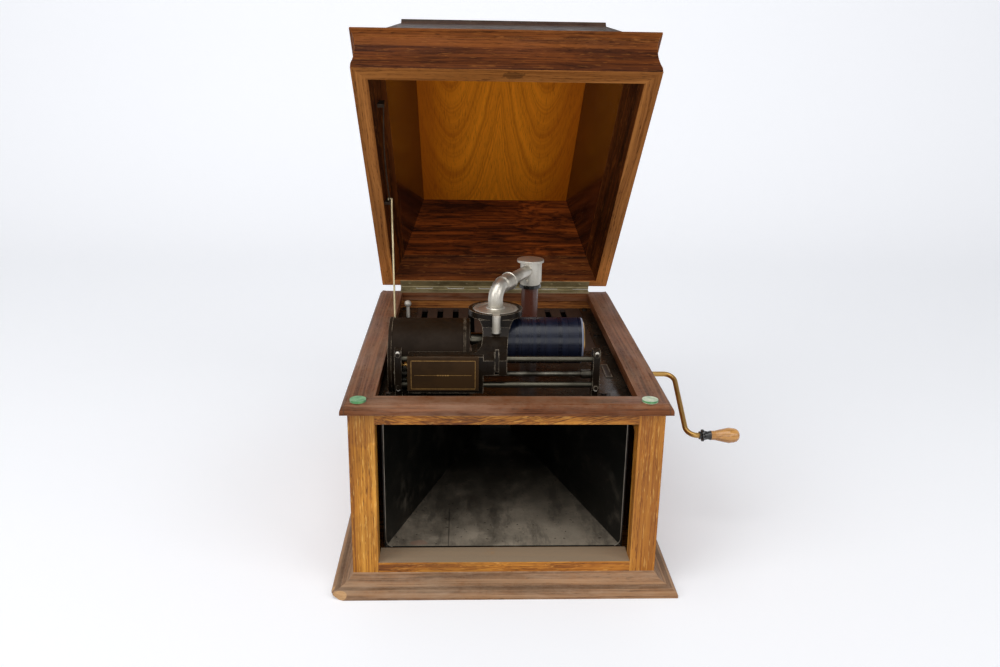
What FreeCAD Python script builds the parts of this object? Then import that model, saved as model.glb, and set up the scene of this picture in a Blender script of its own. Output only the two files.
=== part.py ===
import FreeCAD
import Part
import math
import os
from FreeCAD import Vector as V

# A lidded table phonograph for cylinder records, in millimetres.
# The front faces -Y, +X is to the viewer's right and +Z is up. The origin is on the floor,
# under the middle of the case. The lid stands open.

# Case and base
case_w = 345.0
case_d = 460.0
case_h = 217.0
side_t = 12.0
back_t = 6.0
bottom_t = 12.0
stile_w = 29.0
stile_t = 20.0
top_rail_h = 13.4
top_rail_t = 18.0
bottom_rail_h = 33.5
bottom_rail_t = 11.0
sill_w = 22.0
sill_t = 8.0
base_out = 24.0
base_h = 21.0
base_arris_in = 10.6
base_arris_h = 11.0
base_foot_h = 3.5
base_quirk_h = 1.3
chip_w = 15.0
chip_h = 11.0
chip_in = 5.5

# Top frame, with felt pads at the front corners
frame_out = 7.5
frame_t = 12.0
frame_side_w = 36.0
frame_front_w = 27.0
frame_back_w = 16.0
nose_in = 5.0
nose_step = 1.2
nose_low = 3.0
pad_r = 8.8
pad_t = 2.5
pad_from_side = 22.0
pad_from_front = 12.5
pad_shift = 3.0

# Lid, hinged along the back and held open
open_angle = 46.0
hinge_gap = 6.0
lid_w = 350.0
lid_l = 464.4
lid_back_gap = 3.5
rim_t = 18.0
rim_ledge_in = 33.5
rim_ledge_h = 37.0
rim_h = 49.5
rim_cove = 2.6
cornice_out = 4.2
cornice_h = 8.6
cornice_lip = 2.6
roof_foot_in = 8.0
roof_t = 8.0
top_in = 49.0
top_t = 8.1
top_nose = 2.0
lid_inside_h = 120.5
inner_slope_run = 30.0
inner_slope_t = 7.4
inner_panel_t = 3.0

# Piano hinge
hinge_l = 294.0
hinge_leaf_t = 1.2
hinge_leaf_w = 14.0
knuckle_r = 3.0
knuckle_count = 12
knuckle_gap = 0.3
hinge_pin_r = 1.1

# Lid stay
stay_r = 1.3
stay_pivot_from_edge = 3.5
stay_pivot_y = 37.4
stay_pivot_drop = 2.0
stay_tip_a = 219.0
stay_tip_h = 5.0
stay_tip_in = 28.8
stay_shut_h = 15.0
stay_shut_in = 33.0
stay_eye_r = 3.8
stay_eye_t = 2.4
stay_pin_r = 1.5
track_t = 1.2
track_w = 7.4
track_gap = 0.6
slot_play = 0.6
stay_head_t = 0.8
stay_head_gap = 0.9
track_foot = 3.0

# Bedplate and slotted board
bed_drop = 12.0
bed_t = 8.0
bed_gap = 3.5
bed_front_gap = 4.0
board_x0 = -120.0
board_x1 = 132.0
board_y0 = 15.0
board_y1 = 221.0
board_t = 4.0
board_play = 0.4
board_ledge = 6.0
slot_count = 10
slot_w = 9.0
slot_pitch = 23.6
slot_x0 = -108.0
slot_y0 = 40.0
slot_y1 = 213.0
cleat_w = 15.0
cleat_h = 14.0
screw_head_r = 4.0
screw_head_h = 1.8
name_plate_w = 9.0
name_plate_l = 47.0
name_plate_t = 1.0
name_plate_y = -89.0
name_plate_in = 20.0

# Horn, elbow and tone pipe
horn_wall = 1.2
mouth_w = 277.0
mouth_in = 34.0
mouth_drop = 25.0
throat_w = 48.0
throat_y = 135.0
throat_z = 62.0
neck_r = 13.0
neck_wall = 3.5
neck_turn = 34.0
neck_back = 48.0
neck_run_z = 138.0
pipe_x = 37.0
pipe_y = -5.0
pipe_top_drop = 23.0
pipe_r = 10.8
pipe_bore_r = 8.0
collar_r = 14.0
collar_h = 4.0

# Mandrel, record and carriage axes
mandrel_y = -100.0
mandrel_rise = 52.5
mandrel_x0 = -20.0
mandrel_x1 = 95.5
mandrel_big_r = 25.6
mandrel_small_r = 24.6
shaft_r = 5.0
record_x0 = -14.3
record_l = 108.0
record_r = 27.8
record_fit = 0.1
record_slide = 112.0
running = 0.06

# Drum cover over the drive gears
drum_x0 = -135.5
drum_x1 = -40.5
drum_r = 47.5
drum_wall = 1.6
drum_rim_r = 1.2
drum_rim_w = 4.0
drum_rise = 30.5

# Feed frame at the front
rod_from_mandrel = 60.0
upper_rod_rise = 49.5
lower_rod_rise = 18.2
upper_rod_r = 3.25
lower_rod_r = 3.5
plate_w = 8.0
plate_d = 18.0
plate_below_rod = 5.7
plate_above_rod = 12.0
left_plate_x = -122.0
right_plate_x = 103.5
feed_r = 3.0
feed_behind_rods = 8.0
feed_above_rod = 10.3
feed_knob_r = 5.2
feed_knob_l = 11.0
feed_channel_h = 18.0

# Carriage and reproducer
carriage_travel = 94.8
carriage_x0 = -110.5
carriage_x1 = -29.5
arm_foot_drop = 16.0
arm_half = 32.0
body_before_rods = 11.5
body_behind_rods = 7.5
body_below_rod = 6.2
body_above_rod = 6.0
cover_t = 2.5
neck_x = -10.4
ring_r = 32.0
ring_bore_r = 27.4
ring_rise = 33.3
ring_t = 7.2
disc_r = 27.1
disc_t = 5.5
nipple_r = 6.6
nipple_h = 9.0
weight_r = 22.0
weight_t = 2.2
weight_gap = 1.6
stylus_gap = 0.5

# Tone arm
arm_rise = 24.0
elbow_r = 8.75
elbow_wall = 1.3
elbow_turn = 15.0
socket_r = 10.2
socket_bore_r = 9.3
socket_end = 40.0
bead_r = 11.2
bead_w = 3.0
arm_tube_r = 7.6
arm_tube_wall = 1.2
arm_tube_from_neck = 30.0
head_r = 13.0
head_below = 18.0
head_above = 10.5
cap_r = 17.2
cap_t = 3.2

# Spring motor
tooth = 1.5
feed_tooth = 1.25
gear_w = 5.0
motor_plate_t = 3.0
motor_x0 = 106.0
motor_x1 = 147.0
crank_y = 15.0
crank_drop = 33.0
barrel_y = -8.0
drive_y = -70.0
drive_drop = 27.0
barrel_r = 40.0
barrel_w = 18.0
barrel_wall = 2.0
arbor_r = 5.0
pivot_r = 3.0
governor_r = 12.5
governor_disc_r = 13.5

# Crank
crank_r = 3.4
crank_arm_x = 238.0
handle_y = -79.0
handle_drop = 49.0
crank_turn = 14.0
crank_end_x = 254.0
ferrule_l = 15.0
handle_l = 37.0
handle_r = 10.0
handle_neck_r = 6.0

# Start lever
lever_x = -132.0
lever_y = 170.0
lever_rise = 21.0
lever_ball_r = 5.0
lever_r = 2.9

# Heights and depths that follow from one another
bed_top = case_h - bed_drop
stay_pivot_z = case_h - stay_pivot_drop
mouth_y = mouth_in - case_d / 2
mouth_top = case_h - mouth_drop
mandrel_z = bed_top + mandrel_rise
drum_z = bed_top + drum_rise
rod_y = mandrel_y - rod_from_mandrel
upper_rod_z = bed_top + upper_rod_rise
lower_rod_z = bed_top + lower_rod_rise
plate_z0 = lower_rod_z - plate_below_rod
plate_z1 = upper_rod_z + plate_above_rod
feed_y = rod_y + feed_behind_rods
feed_z = lower_rod_z + feed_above_rod
arm_foot_z = upper_rod_z - arm_foot_drop
body_front = rod_y - body_before_rods
body_back = rod_y + body_behind_rods
body_z0 = lower_rod_z - body_below_rod
body_z1 = upper_rod_z + body_above_rod
ring_z0 = mandrel_z + ring_rise
ring_z1 = ring_z0 + ring_t
arm_z = ring_z1 + arm_rise
head_z0 = arm_z - head_below
head_z1 = arm_z + head_above
pipe_foot_z = neck_run_z + neck_turn
pipe_top_z = arm_z - pipe_top_drop
crank_z = bed_top - crank_drop
drive_z = bed_top - drive_drop
handle_z = crank_z - handle_drop
lever_ball_z = bed_top + lever_rise
track_off = stay_r + track_gap + track_t / 2
pieces = {}


# Helpers

def box(x0, x1, y0, y1, z0, z1):
    return Part.makeBox(x1 - x0, y1 - y0, z1 - z0, V(x0, y0, z0))


def rod(start, end, radius):
    return Part.makeCylinder(radius, end.sub(start).Length, start, end.sub(start))


def x_rod(x0, x1, y, z, radius):
    return rod(V(x0, y, z), V(x1, y, z), radius)


def z_rod(x, y, z0, z1, radius):
    return rod(V(x, y, z0), V(x, y, z1), radius)


def prism(points, plane, low, high):
    place = {"yz": lambda a, b: V(low, a, b), "xz": lambda a, b: V(a, low, b),
             "xy": lambda a, b: V(a, b, low)}[plane]
    along = {"yz": V(high - low, 0, 0), "xz": V(0, high - low, 0), "xy": V(0, 0, high - low)}[plane]
    corners = [place(a, b) for a, b in points]
    return Part.Face(Part.makePolygon(corners + corners[:1])).extrude(along)


def fuse(shapes):
    whole = shapes[0]
    if len(shapes) > 1:
        whole = shapes[0].fuse(shapes[1:])
    return whole.removeSplitter()


def group(shapes):
    return Part.makeCompound(shapes)


def revolve_x(outline, y, z):
    # outline lists (x, radius) points, closed along the axis
    corners = [V(x, y, z + r) for x, r in outline]
    face = Part.Face(Part.makePolygon(corners + corners[:1]))
    return face.revolve(V(0, y, z), V(1, 0, 0), 360)


def revolve_z(outline, x, y):
    # outline lists (radius, z) points, closed along the axis
    corners = [V(x + r, y, z) for r, z in outline]
    face = Part.Face(Part.makePolygon(corners + corners[:1]))
    return face.revolve(V(x, y, 0), V(0, 0, 1), 360)


def rounded_path(points, radii):
    # straight runs joined by tangent arcs at the inner points
    edges = []
    last = points[0]
    for before, corner, after, radius in zip(points, points[1:], points[2:], radii):
        into = corner.sub(before).normalize()
        out = after.sub(corner).normalize()
        turn = into.getAngle(out)
        back = radius * math.tan(turn / 2)
        start = corner.sub(into * back)
        end = corner.add(out * back)
        inward = out.sub(into).normalize()
        depth = radius / math.cos(turn / 2) - radius
        edges.append(Part.LineSegment(last, start).toShape())
        edges.append(Part.Arc(start, corner.add(inward * depth), end).toShape())
        last = end
    edges.append(Part.LineSegment(last, points[-1]).toShape())
    return Part.Wire(edges)


def sweep_round(path, radius):
    first = path.Edges[0]
    start = first.valueAt(first.FirstParameter)
    along = first.tangentAt(first.FirstParameter)
    ring = Part.Wire(Part.makeCircle(radius, start, along))
    return path.makePipeShell([ring], True, False)


def mitred_frame(profile, x_half, y_front, y_back, reach):
    # four mitred strips; profile lists (inset, height) points from the outer rectangle,
    # reach is how far the side, front and back strips come in
    side_in, front_in, back_in = reach
    low = min(z for _, z in profile) - 1
    high = max(z for _, z in profile) + 1
    length = 2 * (x_half + side_in)
    depth = y_back - y_front + front_in + back_in
    cross = [Part.LineSegment(V(0, a, b), V(0, c, d)).toShape()
             for (a, b), (c, d) in zip(profile, profile[1:] + profile[:1])]
    face = Part.Face(Part.Wire(cross))
    front = face.extrude(V(length, 0, 0))
    back = front.copy()
    back.rotate(V(0, 0, 0), V(0, 0, 1), 180)
    right = face.extrude(V(depth, 0, 0))
    left = right.copy()
    right.rotate(V(0, 0, 0), V(0, 0, 1), 90)
    left.rotate(V(0, 0, 0), V(0, 0, 1), -90)
    front.translate(V(-length / 2, y_front, 0))
    back.translate(V(length / 2, y_back, 0))
    left.translate(V(-x_half, y_back + back_in, 0))
    right.translate(V(x_half, y_front - front_in, 0))
    out_x, in_x = x_half + side_in, x_half - side_in
    out_f, in_f = y_front - front_in, y_front + front_in
    out_b, in_b = y_back + back_in, y_back - back_in
    wedges = [[(-out_x, out_f), (out_x, out_f), (in_x, in_f), (-in_x, in_f)],
              [(-out_x, out_b), (-in_x, in_b), (in_x, in_b), (out_x, out_b)],
              [(-out_x, out_f), (-in_x, in_f), (-in_x, in_b), (-out_x, out_b)],
              [(out_x, out_f), (out_x, out_b), (in_x, in_b), (in_x, in_f)]]
    return [strip.common(prism(wedge, "xy", low, high))
            for strip, wedge in zip((front, back, left, right), wedges)]


def smooth_arc(start, through, end, steps):
    # points on the circle through three (a, b) points, both ends included
    arc = Part.Arc(V(*start, 0), V(*through, 0), V(*end, 0)).toShape()
    return [(p.x, p.y) for p in arc.discretize(steps + 1)]


# Toothed wheels, all with axes along X

def pitch_r(teeth, module=tooth):
    return teeth * module / 2


def gear(teeth, x0, x1, y, z, phase, bore, module=tooth):
    root = pitch_r(teeth, module) - 1.2 * module
    tip = pitch_r(teeth, module) + 0.85 * module
    half_root = 0.30 * math.pi * module / root
    half_tip = 0.105 * math.pi * module / tip
    points = []
    for k in range(teeth):
        mid = phase + 2 * math.pi * k / teeth
        for radius, angle in ((root, -half_root), (tip, -half_tip), (tip, half_tip), (root, half_root)):
            points.append((y + radius * math.cos(mid + angle), z + radius * math.sin(mid + angle)))
    wheel = prism(points, "yz", x0, x1)
    if bore > 0:
        wheel = wheel.cut(x_rod(x0 - 1, x1 + 1, y, z, bore))
    return wheel


def meshed_phase(teeth_a, centre_a, phase_a, teeth_b, centre_b):
    # turns wheel b so that its gap meets wheel a's tooth on the line of centres
    line = math.atan2(centre_b[1] - centre_a[1], centre_b[0] - centre_a[0])
    return line + math.pi + (math.pi - teeth_a * (phase_a - line)) / teeth_b


def third_point(a, ra, b, rb, side):
    # the point at ra from a and rb from b, on the given side of the line from a to b
    dy, dz = b[0] - a[0], b[1] - a[1]
    span = math.hypot(dy, dz)
    along = (ra ** 2 - rb ** 2 + span ** 2) / (2 * span)
    off = side * math.sqrt(ra ** 2 - along ** 2)
    return (a[0] + (dy * along - dz * off) / span, a[1] + (dz * along + dy * off) / span)


# Places worked out from the sizes above

x_side = case_w / 2
y_front = -case_d / 2
y_back = case_d / 2
frame_top = case_h + frame_t
frame_x = x_side + frame_out
frame_inner_x = frame_x - frame_side_w
frame_front = y_front - frame_out
frame_back = y_back + frame_out
hinge_y = frame_back
hinge_z = frame_top + hinge_gap
inside_x = x_side - side_t
inside_back = y_back - back_t
bed_low = bed_top - bed_t
stile_inner = x_side - stile_w
sill_back = y_front + bottom_rail_t + sill_w


# Cabinet

def make_base():
    w = base_out
    rise = [(0, 0)]
    quirk = base_arris_h - base_quirk_h
    ovolo = smooth_arc((0, base_foot_h), (base_arris_in * 0.3, quirk * 0.82), (base_arris_in, quirk), 5)
    cove = smooth_arc((base_arris_in + 0.8, base_arris_h),
                      (base_arris_in + (w - base_arris_in) * 0.62, base_arris_h + (base_h - base_arris_h) * 0.36),
                      (w, base_h), 5)
    profile = rise + ovolo + cove + [(w, 0)]
    strips = group(mitred_frame(profile, x_side + w, y_front - w, y_back + w, (w, w, w)))
    # two worn-off chips at the front left corner, and the bottom rounded under them
    x, y = -x_side - w, y_front - w
    front = prism([(x - 1, y - 1), (x + chip_w, y - 1), (x + chip_w, y), (x, y + chip_in), (x - 1, y + chip_in)],
                  "xy", -1, chip_h)
    side = prism([(x - 1, y + chip_in - 1), (x + chip_in * 0.55, y + chip_in - 1), (x, y + chip_w * 0.9),
                  (x - 1, y + chip_w * 0.9)], "xy", -1, chip_h * 1.3)
    under = prism([(x - 1, -1), (x - 1, chip_h * 0.6), (x + chip_w * 0.8, -1)], "xz", y - 1, y + chip_w)
    for cut in (front, side, under):
        strips = strips.cut(cut)
    return strips


def make_case():
    pieces["base_moulding"] = make_base()
    sides = []
    for s in (-1, 1):
        x0, x1 = sorted((s * inside_x, s * x_side))
        sides.append(box(x0, x1, y_front + stile_t, y_back, 0, case_h))
    sides[1] = sides[1].cut(x_rod(inside_x - 1, x_side + 1, crank_y, crank_z, bush_r))
    pieces["side_panels"] = group(sides)
    pieces["back_panel"] = box(-inside_x, inside_x, inside_back, y_back, 0, case_h)
    stiles = []
    for s in (-1, 1):
        x0, x1 = sorted((s * stile_inner, s * x_side))
        stiles.append(box(x0, x1, y_front, y_front + stile_t, 0, case_h))
    foot = [box(-stile_inner, stile_inner, y_front, y_front + bottom_rail_t, 0, bottom_rail_h)]
    head = [box(-stile_inner, stile_inner, y_front, y_front + top_rail_t, case_h - top_rail_h, case_h)]
    sill = [box(-stile_inner, stile_inner, y_front + bottom_rail_t, sill_back,
                bottom_rail_h - 0.6 - sill_t, bottom_rail_h - 0.6)]
    pieces["front_stiles"] = group(stiles)
    floor = box(-inside_x, inside_x, y_front + bottom_rail_t, inside_back, 0, bottom_t)
    pieces["bottom_board"] = floor.cut(pieces["front_stiles"])
    pieces["front_rails"] = group(head + foot + sill)
    cleats = []
    for s in (-1, 1):
        x0, x1 = sorted((s * (inside_x - cleat_w), s * inside_x))
        for y0, y1 in ((y_front + stile_t + 2, drive_y - 22), (crank_y + 47, inside_back - 2)):
            cleats.append(box(x0, x1, y0, y1, bed_low - cleat_h, bed_low))
    pieces["bedplate_cleats"] = group(cleats)


def make_top_frame():
    nose = smooth_arc((nose_in, frame_t - nose_step), (nose_in * 0.28, frame_t * 0.62), (0, nose_low), 5)
    profile = [(nose_in, frame_t)] + nose + [(0, 0), (frame_side_w, 0), (frame_side_w, frame_t)]
    profile = [(a, b + case_h) for a, b in profile]
    reach = (frame_side_w, frame_front_w, frame_back_w)
    pieces["top_frame"] = group(mitred_frame(profile, frame_x, frame_front, frame_back, reach))
    pads = [z_rod(s * (frame_x - pad_from_side) - pad_shift, frame_front + pad_from_front, frame_top, frame_top + pad_t, pad_r)
            for s in (-1, 1)]
    pieces["felt_pads"] = group(pads)


# Lid, made shut and then turned open about the hinge

def shut_frame(profile, reach):
    profile = [(a, b + hinge_z) for a, b in profile]
    return mitred_frame(profile, lid_w / 2, hinge_y - lid_l, hinge_y, (reach, reach, reach))


def turned_open(shape):
    turned = shape.copy()
    turned.rotate(V(0, hinge_y, hinge_z), V(1, 0, 0), -open_angle)
    return turned


def slope_in(height):
    # inset of the roof's outer face at a height
    run = (top_in - roof_foot_in) / (lid_inside_h + inner_panel_t - rim_h - cornice_h)
    return roof_foot_in + (height - rim_h - cornice_h) * run


def make_lid():
    cove = smooth_arc((0, 7), (rim_cove, rim_h * 0.55), (0.6, rim_h), 6)
    rim = [(0, 0)] + cove + [(rim_ledge_in - inner_slope_t, rim_h), (rim_ledge_in - inner_slope_t, rim_ledge_h),
                             (rim_ledge_in, rim_ledge_h), (rim_t, 0)]
    relief = box(-lid_w, lid_w, hinge_y - lid_back_gap, hinge_y + 1, hinge_z - 1, hinge_z + rim_h * 0.5)
    rim_parts = [part.cut(relief) for part in shut_frame(rim, rim_ledge_in)]
    top = rim_h + cornice_h
    swell = smooth_arc((0, rim_h), (-cornice_out * 0.45, rim_h + cornice_h * 0.45),
                       (-cornice_out, top - cornice_lip), 4)
    cornice = swell + [(-cornice_out, top), (roof_foot_in + roof_t, top), (roof_foot_in + roof_t, rim_h)]
    under_top = lid_inside_h + inner_panel_t
    roof = [(roof_foot_in, top), (roof_foot_in + roof_t, top), (slope_in(under_top) + roof_t, under_top),
            (slope_in(under_top), under_top)]
    foot = rim_ledge_in
    head = rim_ledge_in + inner_slope_run
    slopes = [(foot, rim_ledge_h), (head, lid_inside_h), (head - inner_slope_t, lid_inside_h),
              (foot - inner_slope_t, rim_ledge_h)]
    panel_in = top_in + roof_t + 0.5
    pieces["lid_rim"] = turned_open(group(rim_parts))
    pieces["lid_cornice"] = turned_open(group(shut_frame(cornice, roof_foot_in + roof_t)))
    pieces["lid_roof"] = turned_open(group(shut_frame(roof, top_in + roof_t)))
    pieces["lid_inner_slopes"] = turned_open(group(shut_frame(slopes, head)))
    panel = box(-lid_w / 2 + panel_in, lid_w / 2 - panel_in, hinge_y - lid_l + panel_in, hinge_y - panel_in,
                hinge_z + lid_inside_h, hinge_z + under_top)
    pieces["lid_inner_panel"] = turned_open(panel)
    board = box(-lid_w / 2 + top_in, lid_w / 2 - top_in, hinge_y - lid_l + top_in, hinge_y - top_in,
                hinge_z + under_top, hinge_z + under_top + top_t)
    edges = [e for e in board.Edges if min(v.Z for v in e.Vertexes) > hinge_z + under_top + top_t / 2]
    pieces["lid_top_board"] = turned_open(board.makeFillet(top_nose, edges))
    return group(rim_parts)


# Piano hinge

def knuckles(first):
    pitch = hinge_l / knuckle_count
    rings = []
    for k in range(first, knuckle_count, 2):
        x0 = -hinge_l / 2 + k * pitch + knuckle_gap / 2
        rings.append((x0, x0 + pitch - knuckle_gap))
    return rings


def make_hinge():
    leaf_low = frame_top
    case_leaf = [box(-hinge_l / 2, hinge_l / 2, hinge_y - hinge_leaf_w - knuckle_gap, hinge_y + hinge_leaf_t / 2,
                     leaf_low, leaf_low + hinge_leaf_t)]
    for x0, x1 in knuckles(0):
        case_leaf.append(x_rod(x0, x1, hinge_y, hinge_z, knuckle_r))
        case_leaf.append(box(x0, x1, hinge_y - hinge_leaf_t / 2, hinge_y + hinge_leaf_t / 2,
                             leaf_low, hinge_z - knuckle_r / 2))
    bore = x_rod(-hinge_l / 2 - 1, hinge_l / 2 + 1, hinge_y, hinge_z, hinge_pin_r + running)
    pin = x_rod(-hinge_l / 2, hinge_l / 2, hinge_y, hinge_z, hinge_pin_r)
    pieces["hinge_case_leaf"] = group([fuse(case_leaf).cut(bore), pin])
    near = knuckle_r + knuckle_gap
    lid_leaf = [box(-hinge_l / 2, hinge_l / 2, hinge_y - near - hinge_leaf_w, hinge_y - near,
                    hinge_z - hinge_leaf_t, hinge_z)]
    for x0, x1 in knuckles(1):
        lid_leaf.append(x_rod(x0, x1, hinge_y, hinge_z, knuckle_r))
        lid_leaf.append(box(x0, x1, hinge_y - near - 1, hinge_y, hinge_z - hinge_leaf_t, hinge_z))
    pieces["hinge_lid_leaf"] = turned_open(fuse(lid_leaf).cut(bore))


# Lid stay: a wire pivoted on the case, whose hooked tip runs in a slotted track on the lid

def turn_about_hinge(point, degrees):
    turn = FreeCAD.Rotation(V(1, 0, 0), degrees)
    centre = V(0, hinge_y, hinge_z)
    return turn.multVec(point.sub(centre)).add(centre)


def stay_geometry():
    pivot = V(-frame_inner_x + stay_pivot_from_edge, stay_pivot_y, stay_pivot_z)
    shut_place = V(-lid_w / 2 + stay_tip_in, hinge_y - stay_tip_a, hinge_z + stay_tip_h)
    tip = turn_about_hinge(shut_place, -open_angle)
    reach = tip.sub(pivot)
    shut_dx = -lid_w / 2 + stay_shut_in - pivot.x
    shut_dz = hinge_z + stay_shut_h - pivot.z
    shut_dy = -math.sqrt(reach.Length ** 2 - shut_dx ** 2 - shut_dz ** 2)
    shut_reach = V(shut_dx, shut_dy, shut_dz)
    axis = reach.cross(shut_reach).normalize()
    sweep = math.degrees(reach.getAngle(shut_reach))
    return pivot, tip, axis, sweep


def tip_in_shut_lid(part_of_travel):
    pivot, tip, axis, sweep = stay_geometry()
    swung = FreeCAD.Rotation(axis, sweep * part_of_travel).multVec(tip.sub(pivot)).add(pivot)
    return turn_about_hinge(swung, open_angle * (1 - part_of_travel))


def track_line(beyond):
    # the arc through the tip's places in the shut lid, made longer at both ends
    points = [tip_in_shut_lid(f).add(V(-track_off, 0, 0)) for f in (0, 0.5, 1)]
    edge = Part.Arc(*points).toShape()
    more = beyond / edge.Curve.Radius
    return Part.ArcOfCircle(edge.Curve, edge.FirstParameter - more, edge.LastParameter + more)


def track_band(beyond, thick, wide):
    arc = track_line(beyond).toShape()
    start = arc.valueAt(arc.FirstParameter)
    across = arc.tangentAt(arc.FirstParameter).cross(V(1, 0, 0)).normalize()
    corners = [start.add(V(sx * thick / 2, 0, 0)).add(across * (sw * wide / 2))
               for sx, sw in ((-1, -1), (1, -1), (1, 1), (-1, 1))]
    sweep = Part.BRepOffsetAPI.MakePipeShell(Part.Wire(arc))
    sweep.setBiNormalMode(V(1, 0, 0))
    sweep.add(Part.makePolygon(corners + corners[:1]))
    sweep.build()
    sweep.makeSolid()
    return sweep.shape()


def make_stay(shut_rim):
    pivot, tip, axis, sweep = stay_geometry()
    shank = tip.sub(pivot).normalize()
    eye = rod(pivot.sub(axis * (stay_eye_t / 2)), pivot.add(axis * (stay_eye_t / 2)), stay_eye_r)
    wire = rod(pivot.add(shank * (stay_eye_r * 0.6)), tip, stay_r)
    ball = Part.makeSphere(stay_r, tip)
    hook_end = tip.sub(axis * (track_off + track_t / 2 + stay_head_t + stay_head_gap))
    hook = rod(tip, hook_end, stay_r)
    head = rod(hook_end.add(axis * stay_head_t), hook_end, stay_r + slot_play + 0.5)
    whole = fuse([eye, wire, ball, hook, head])
    hole = rod(pivot.sub(axis * 5), pivot.add(axis * 5), stay_pin_r + running)
    pieces["stay_rod"] = whole.cut(hole)
    plate_x = -frame_inner_x
    plate = box(plate_x, plate_x + 1.4, pivot.y - 9, pivot.y + 9, pivot.z - 7, pivot.z + 7)
    pin = rod(pivot.sub(axis * (stay_pivot_from_edge - 0.7)), pivot.add(axis * (stay_eye_t / 2 + 1.6)), stay_pin_r)
    pin_head = rod(pivot.add(axis * (stay_eye_t / 2 + 0.5)), pivot.add(axis * (stay_eye_t / 2 + 1.6)), stay_pin_r + 1.2)
    pieces["stay_bracket"] = fuse([plate, pin, pin_head])
    slot_end = stay_r + slot_play + 1.0
    band = track_band(slot_end + 2 * track_foot, track_t, track_w)
    slot = track_band(slot_end, track_t + 4, 2 * (stay_r + slot_play))
    line = track_line(slot_end + track_foot)
    wall = fuse(shut_rim.Solids)
    f = track_foot
    feet = []
    for p in (line.StartPoint, line.EndPoint):
        cut = box(p.x - 14, p.x, p.y - f, p.y + f, p.z - f, p.z + f).cut(wall).Solids
        feet.append(max(cut, key=lambda solid: solid.BoundBox.XMax))
    pieces["stay_track"] = turned_open(fuse([band.cut(slot)] + feet))


# Bedplate, slotted board and their screws

def make_bedplate():
    x = inside_x - bed_gap
    y0 = y_front + stile_t + bed_front_gap
    y1 = inside_back - 2
    plate = box(-x, x, y0, y1, bed_low, bed_top)
    well = box(board_x0, board_x1, board_y0, board_y1, bed_top - board_t, bed_top + 1)
    through = box(board_x0 + board_ledge, board_x1 - board_ledge, board_y0 + board_ledge,
                  board_y1 - board_ledge, bed_low - 1, bed_top + 1)
    gear_slot = box(drive_x0 - 3, drive_x1 + 3, drive_y - pitch_r(28) - 22, drive_y + pitch_r(28) + 6,
                    bed_low - 1, bed_top + 1)
    pipe_hole = z_rod(pipe_x, pipe_y, bed_low - 1, bed_top + 1, pipe_r + 0.3)
    lever_slot = box(lever_x - 3.4, lever_x + 3.4, lever_y - 11, lever_y + 11, bed_low - 1, bed_top + 1)
    plate = plate.cut(fuse([well, through]))
    for hole in (gear_slot, pipe_hole, lever_slot):
        plate = plate.cut(hole)
    pieces["bedplate"] = plate
    p = board_play
    board = box(board_x0 + p, board_x1 - p, board_y0 + p, board_y1 - p, bed_top - board_t, bed_top)
    slots = []
    for k in range(slot_count):
        x0 = slot_x0 + k * slot_pitch - slot_w / 2
        slots.append(box(x0, x0 + slot_w, slot_y0, slot_y1, bed_top - board_t - 1, bed_top + 1))
    pieces["slotted_board"] = board.cut(group(slots))
    spots = [(x - 17, crank_y + 69), (x - 17, inside_back - 8), (-x + 17, crank_y + 69), (-x + 17, inside_back - 8),
             (x - 17, y0 + 12), (-x + 17, y0 + 12)]
    heads = [z_rod(sx, sy, bed_top, bed_top + screw_head_h, screw_head_r) for sx, sy in spots]
    for px, s in ((left_plate_x, -1), (right_plate_x, 1)):
        sx = px + s * (plate_w / 2 + foot_l / 2)
        heads.append(z_rod(sx, foot_y, bed_top + foot_t, bed_top + foot_t + screw_head_h, screw_head_r * 0.8))
    pieces["bedplate_screws"] = group(heads)
    name_plate = box(x - name_plate_in - name_plate_w, x - name_plate_in, name_plate_y, name_plate_y + name_plate_l,
                     bed_top, bed_top + name_plate_t)
    corners = [e for e in name_plate.Edges if abs(e.Vertexes[0].Z - e.Vertexes[-1].Z) > name_plate_t / 2]
    pieces["name_plate"] = name_plate.makeFillet(2.0, corners)


# Horn and tone pipe

def rectangle_wire(x_half, y, z0, z1):
    corners = [V(-x_half, y, z0), V(x_half, y, z0), V(x_half, y, z1), V(-x_half, y, z1)]
    return Part.makePolygon(corners + corners[:1])


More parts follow.
